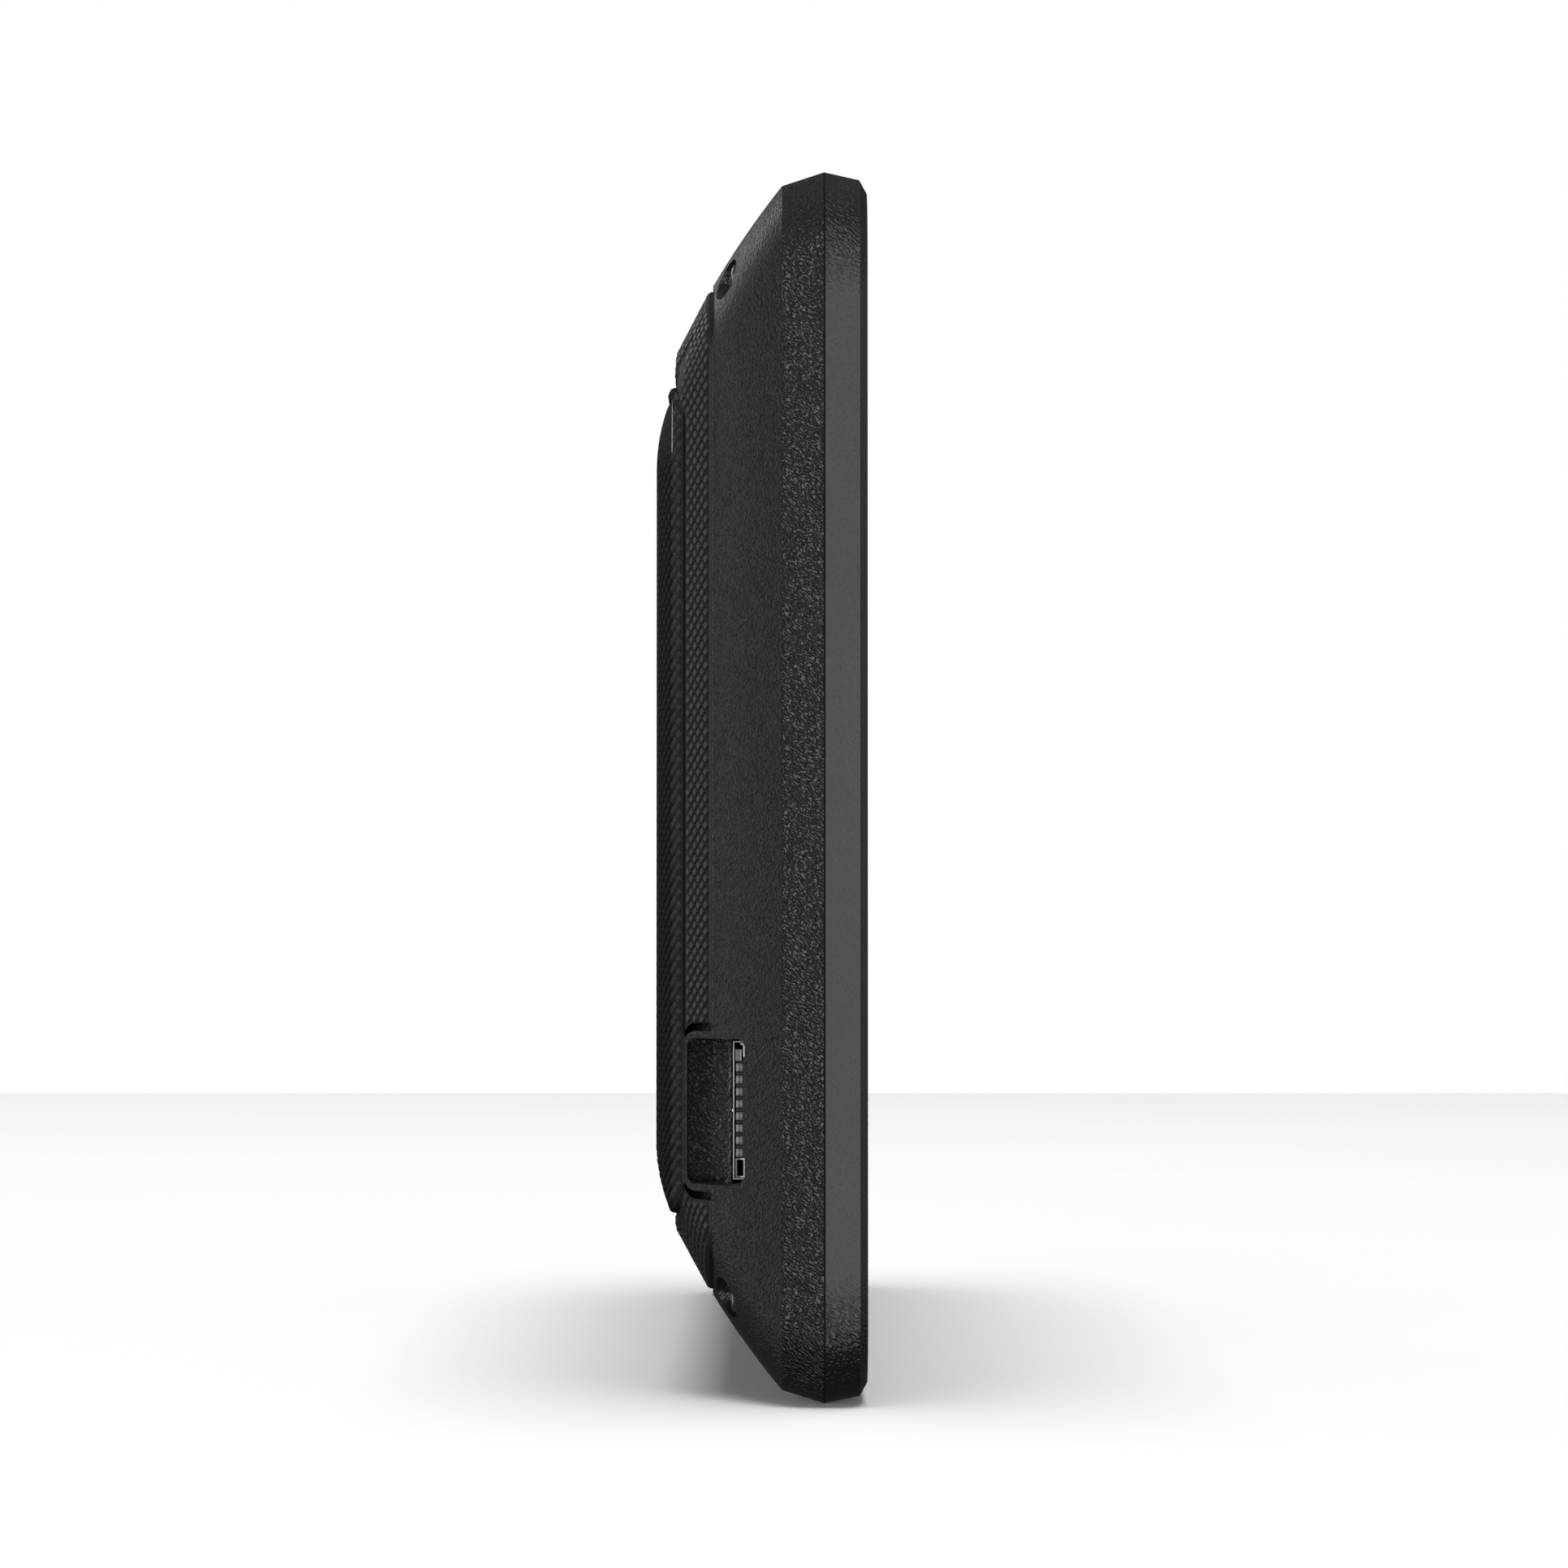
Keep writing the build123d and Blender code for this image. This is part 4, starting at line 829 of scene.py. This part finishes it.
# %% Stud tree and the two rubber pieces
stud_inputs = {"Foot": "Float", "Top": "Float", "Height": "Float"}
stud_inputs.update({"Rubber": "Material", "Skin": "Object"})
studs = Growth("studs", stud_inputs)
cone_sockets = {
    "Vertices": 4, "Radius Top": studs.given["Top"],
    "Radius Bottom": studs.given["Foot"], "Depth": studs.given["Height"],
}
stud = studs.node("GeometryNodeMeshCone", cone_sockets, fill_type="NGON")
field = studs.placed(stud)
coated = {"Geometry": field, "Material": studs.given["Rubber"]}
field = studs.node("GeometryNodeSetMaterial", coated)
skin_input = {"Object": studs.given["Skin"]}
skin = studs.node("GeometryNodeObjectInfo", skin_input, out="Geometry")
both = studs.tree.nodes.new("GeometryNodeJoinGeometry")
for part in (field, skin):
    studs.tree.links.new(part.socket, both.inputs[0])
studs.ends_with(Value(studs, both.outputs[0]))


def rubber_piece(node, shape, places, slot, flat_above):
    """The pressed-in skin of a node with its studs, in place of the node."""
    pressed_in(shape, STUD_HEIGHT, flat_above)
    # The skin between the studs takes the groove finish, whose darker colour is painted shade.
    skin = skin_object(shape, node + "_skin", finishes[slot + "_groove"])
    settings = {"Foot": STUD_FOOT, "Top": STUD_TOP, "Height": STUD_HEIGHT + STUD_ROOT}
    settings.update({"Rubber": finishes[slot], "Skin": skin})
    piece = grow(studs, point_mesh(node + "_points", places), node + "_studded", settings)
    bpy.data.objects.remove(skin)
    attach(piece, "unit")
    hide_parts(node)
    return piece


studded_cover = rubber_piece("grip_cover", cover_shape, cover_places, "grip_rubber", PLATEAU_Y)
studded_pad = rubber_piece("grip_pad", pad_shape, pad_places, "pad_rubber", pad_low.y)
for piece in (studded_cover, studded_pad):
    piece.data.calc_loop_triangles()
    print(piece.name, len(piece.data.loop_triangles), "triangles")

# %% [markdown]
# ## Turned parts
# Screw heads are turned parts: a stack of rings, each with a radius and a height. The
# recess for the key is a ring too, but with six flat sides, so its radius changes with
# the angle. Building the rings one by one keeps the edges rounded with few faces.

# %% Screw head shape
RING_STEPS = 36


def hexagon(flat):
    """Radius of a six-sided ring at an angle, from its centre to its flats."""
    return lambda angle: flat / math.cos((angle % (math.pi / 3)) - math.pi / 6)


def turned(name, rings, finish):
    """A closed turned shape from (radius or radius function, height) rings."""
    shape = bmesh.new()
    angles = [2 * math.pi * step / RING_STEPS for step in range(RING_STEPS)]
    loops = []
    for radius, height in rings:
        size = radius if callable(radius) else (lambda angle, fixed=radius: fixed)
        ring = [(size(a) * math.cos(a), size(a) * math.sin(a), height) for a in angles]
        loops.append([shape.verts.new(place) for place in ring])
    for lower, upper in zip(loops, loops[1:]):
        for step in range(RING_STEPS):
            after = (step + 1) % RING_STEPS
            shape.faces.new((lower[step], lower[after], upper[after], upper[step]))
    shape.faces.new(list(reversed(loops[0])))
    shape.faces.new(loops[-1])
    return skin_object(shape, name, finish, math.radians(35))


screw_low, screw_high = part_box("housing_screws")
HEAD_R = 1.5 * MM
HEAD_H = 1.2 * MM
SHANK_R = 0.9 * MM
KEY_FLAT = 0.65 * MM
KEY_DEEP = 0.75 * MM
head_foot = screw_high.y - HEAD_H
shank_foot = screw_low.y - head_foot
head_rings = [
    (SHANK_R, shank_foot), (SHANK_R, 0.0), (HEAD_R - 0.06 * MM, 0.0), (HEAD_R, 0.06 * MM),
    (HEAD_R, 0.55 * MM), (HEAD_R - 0.06 * MM, 0.80 * MM), (HEAD_R - 0.22 * MM, 1.02 * MM),
    (HEAD_R - 0.50 * MM, 1.16 * MM), (0.86 * MM, HEAD_H), (0.80 * MM, HEAD_H),
    (hexagon(KEY_FLAT), HEAD_H - 0.10 * MM), (hexagon(KEY_FLAT), HEAD_H - KEY_DEEP),
]
screw_shape = turned("screw_shape", head_rings, finishes["screw_black"])
copy_tree = Growth("copies", {"Shape": "Object", "Metal": "Material"})
shape_input = {"Object": copy_tree.given["Shape"]}
one_shape = copy_tree.node("GeometryNodeObjectInfo", shape_input, out="Geometry")
coated = {"Geometry": copy_tree.placed(one_shape), "Material": copy_tree.given["Metal"]}
copy_tree.ends_with(copy_tree.node("GeometryNodeSetMaterial", coated))
BACKWARDS = (0.0, 1.0, 0.0)
screw_places = [
    (Vector((x, head_foot, z)), BACKWARDS, SIDEWAYS)
    for x in (screw_low.x + HEAD_R, screw_high.x - HEAD_R)
    for z in (screw_low.z + HEAD_R, screw_high.z - HEAD_R)
]
screw_settings = {"Shape": screw_shape, "Metal": finishes["screw_black"]}
screw_points = point_mesh("screw_points", screw_places)
screws = grow(copy_tree, screw_points, "corner_screws", screw_settings)
bpy.data.objects.remove(screw_shape)
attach(screws, "unit")
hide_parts("housing_screws")
print("corner screws", len(screw_places))

# %% [markdown]
# ## Card contacts
# Eight flat nickel tabs wait at the mouth of the card socket, in line and evenly
# spaced. One tab with softened edges is modelled, and the same tree that placed the
# screws places it eight times. Thin bars at both ends of the row stand for the bent
# ends of the socket's sheet metal shell, which would otherwise look cut off.

# %% Contact tabs and the socket's ends
TAB_COUNT = 8
TAB_ROUND = 0.04 * MM
BAR_LONG = 0.5 * MM
BAR_INSET = 0.08 * MM
TAB_WIDE = 0.80 * MM
TAB_LONG = 1.6 * MM
tab_tall = contacts_high.y - contacts_low.y
tab_shape = bmesh.new()
bmesh.ops.create_cube(tab_shape, size=1.0)
bmesh.ops.scale(tab_shape, vec=(TAB_WIDE, TAB_LONG, tab_tall), verts=tab_shape.verts)
bmesh.ops.translate(tab_shape, vec=(0, TAB_LONG / 2, tab_tall / 2), verts=tab_shape.verts)
bmesh.ops.bevel(
    tab_shape, geom=tab_shape.edges, offset=TAB_ROUND, segments=2, profile=0.5,
    affect="EDGES")
tab = skin_object(tab_shape, "tab_shape", finishes["contact_dark"])
tab_gap = (contacts_high.z - contacts_low.z - TAB_WIDE) / (TAB_COUNT - 1)
first_tab = Vector((
    contacts_low.x + TAB_LONG, contacts_low.y, contacts_low.z + TAB_WIDE / 2))
DOWNWARDS = (0.0, 0.0, -1.0)
tab_places = [
    (first_tab + Vector((0, 0, i * tab_gap)), BACKWARDS, DOWNWARDS)
    for i in range(TAB_COUNT)
]
tab_settings = {"Shape": tab, "Metal": finishes["contact_dark"]}
tabs = grow(copy_tree, point_mesh("tab_points", tab_places), "card_contact_tabs", tab_settings)
bpy.data.objects.remove(tab)


def add_bar(shape, y_low, y_high, z_low, z_high):
    """A bar at the socket's mouth; its limits are mm from the mouth's lower corner."""
    corner = socket_low + Vector((BAR_INSET, y_low * MM, z_low * MM))
    size = Vector((BAR_LONG, (y_high - y_low) * MM, (z_high - z_low) * MM))
    made = bmesh.ops.create_cube(shape, size=1.0)["verts"]
    bmesh.ops.scale(shape, vec=size, verts=made)
    bmesh.ops.translate(shape, vec=corner + size / 2, verts=made)


ends = bmesh.new()
ends.from_mesh(tabs.data)
UPPER_BARS = [
    (0.50, 1.02, 10.75, 11.75), (0.16, 0.34, 11.1, 12.3), (0.34, 0.62, 12.16, 12.3),
]
LOWER_BARS = [
    (0.16, 1.02, 1.78, 1.90), (0.16, 1.02, 0.18, 0.32),
    (0.88, 1.02, 0.32, 1.78), (0.16, 0.28, 0.32, 1.78),
]
for bar in UPPER_BARS + LOWER_BARS:
    add_bar(ends, *bar)
ends.to_mesh(tabs.data)
ends.free()
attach(tabs, "unit")
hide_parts("card_contacts")
print("contact tabs", TAB_COUNT, "spacing", round(tab_gap / MM, 2), "mm")

# %% [markdown]
# ## The badge
# A small blank plate is let into the pad near one corner. Its top follows the pad's
# dome, so the plate is thicker on its inner side. Its outer edge shows from the side
# as a thin bright line, a painted highlight from its finish. Rays beside the plate's
# seat give the dome's height, and a grid of points between them is closed into a
# solid with a flat underside.

# %% Badge plate
BADGE_ROWS = 8
BADGE_STEPS = 4
BESIDE = 0.4 * MM


def dome_height(x, z):
    """The y of the pad's smooth surface at a place."""
    return pad_surface.ray_cast(Vector((x, ABOVE_BACK, z)), Vector((0, -1, 0)))[0].y


badge_shape = bmesh.new()
badge_size = badge_high - badge_low
shares = [step / BADGE_STEPS for step in range(BADGE_STEPS + 1)]
top_rows = []
for row in range(BADGE_ROWS + 1):
    z = badge_low.z + badge_size.z * row / BADGE_ROWS
    outer = dome_height(badge_low.x - BESIDE, z)
    inner = dome_height(badge_high.x + BESIDE, z)
    row_points = [
        (badge_low.x + badge_size.x * share, outer + (inner - outer) * share, z)
        for share in shares
    ]
    top_rows.append([badge_shape.verts.new(point) for point in row_points])
for lower, upper in zip(top_rows, top_rows[1:]):
    for step in range(BADGE_STEPS):
        after = step + 1
        badge_shape.faces.new((lower[step], upper[step], upper[after], lower[after]))
under = bmesh.ops.extrude_face_region(badge_shape, geom=badge_shape.faces[:])["geom"]
for vertex in under:
    if isinstance(vertex, bmesh.types.BMVert):
        vertex.co.y = badge_low.y
bmesh.ops.recalc_face_normals(badge_shape, faces=badge_shape.faces)
plate = skin_object(badge_shape, "badge_on_dome", finishes["badge_satin"])
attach(plate, "unit")
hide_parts("badge_plate")
print("badge follows the dome in", BADGE_ROWS, "rows")

# %% [markdown]
# ## The rest of the frame
# Every other piece keeps the shape that the CAD model gave it. Its material slots
# already have the right names, so each slot is only given the finish of that name.

# %% Put the finishes on the frame
for node in nodes.values():
    for slot in node.material_slots:
        slot.material = finishes[slot.material.name.split(".")[0]]
print("frame nodes painted", len(nodes))
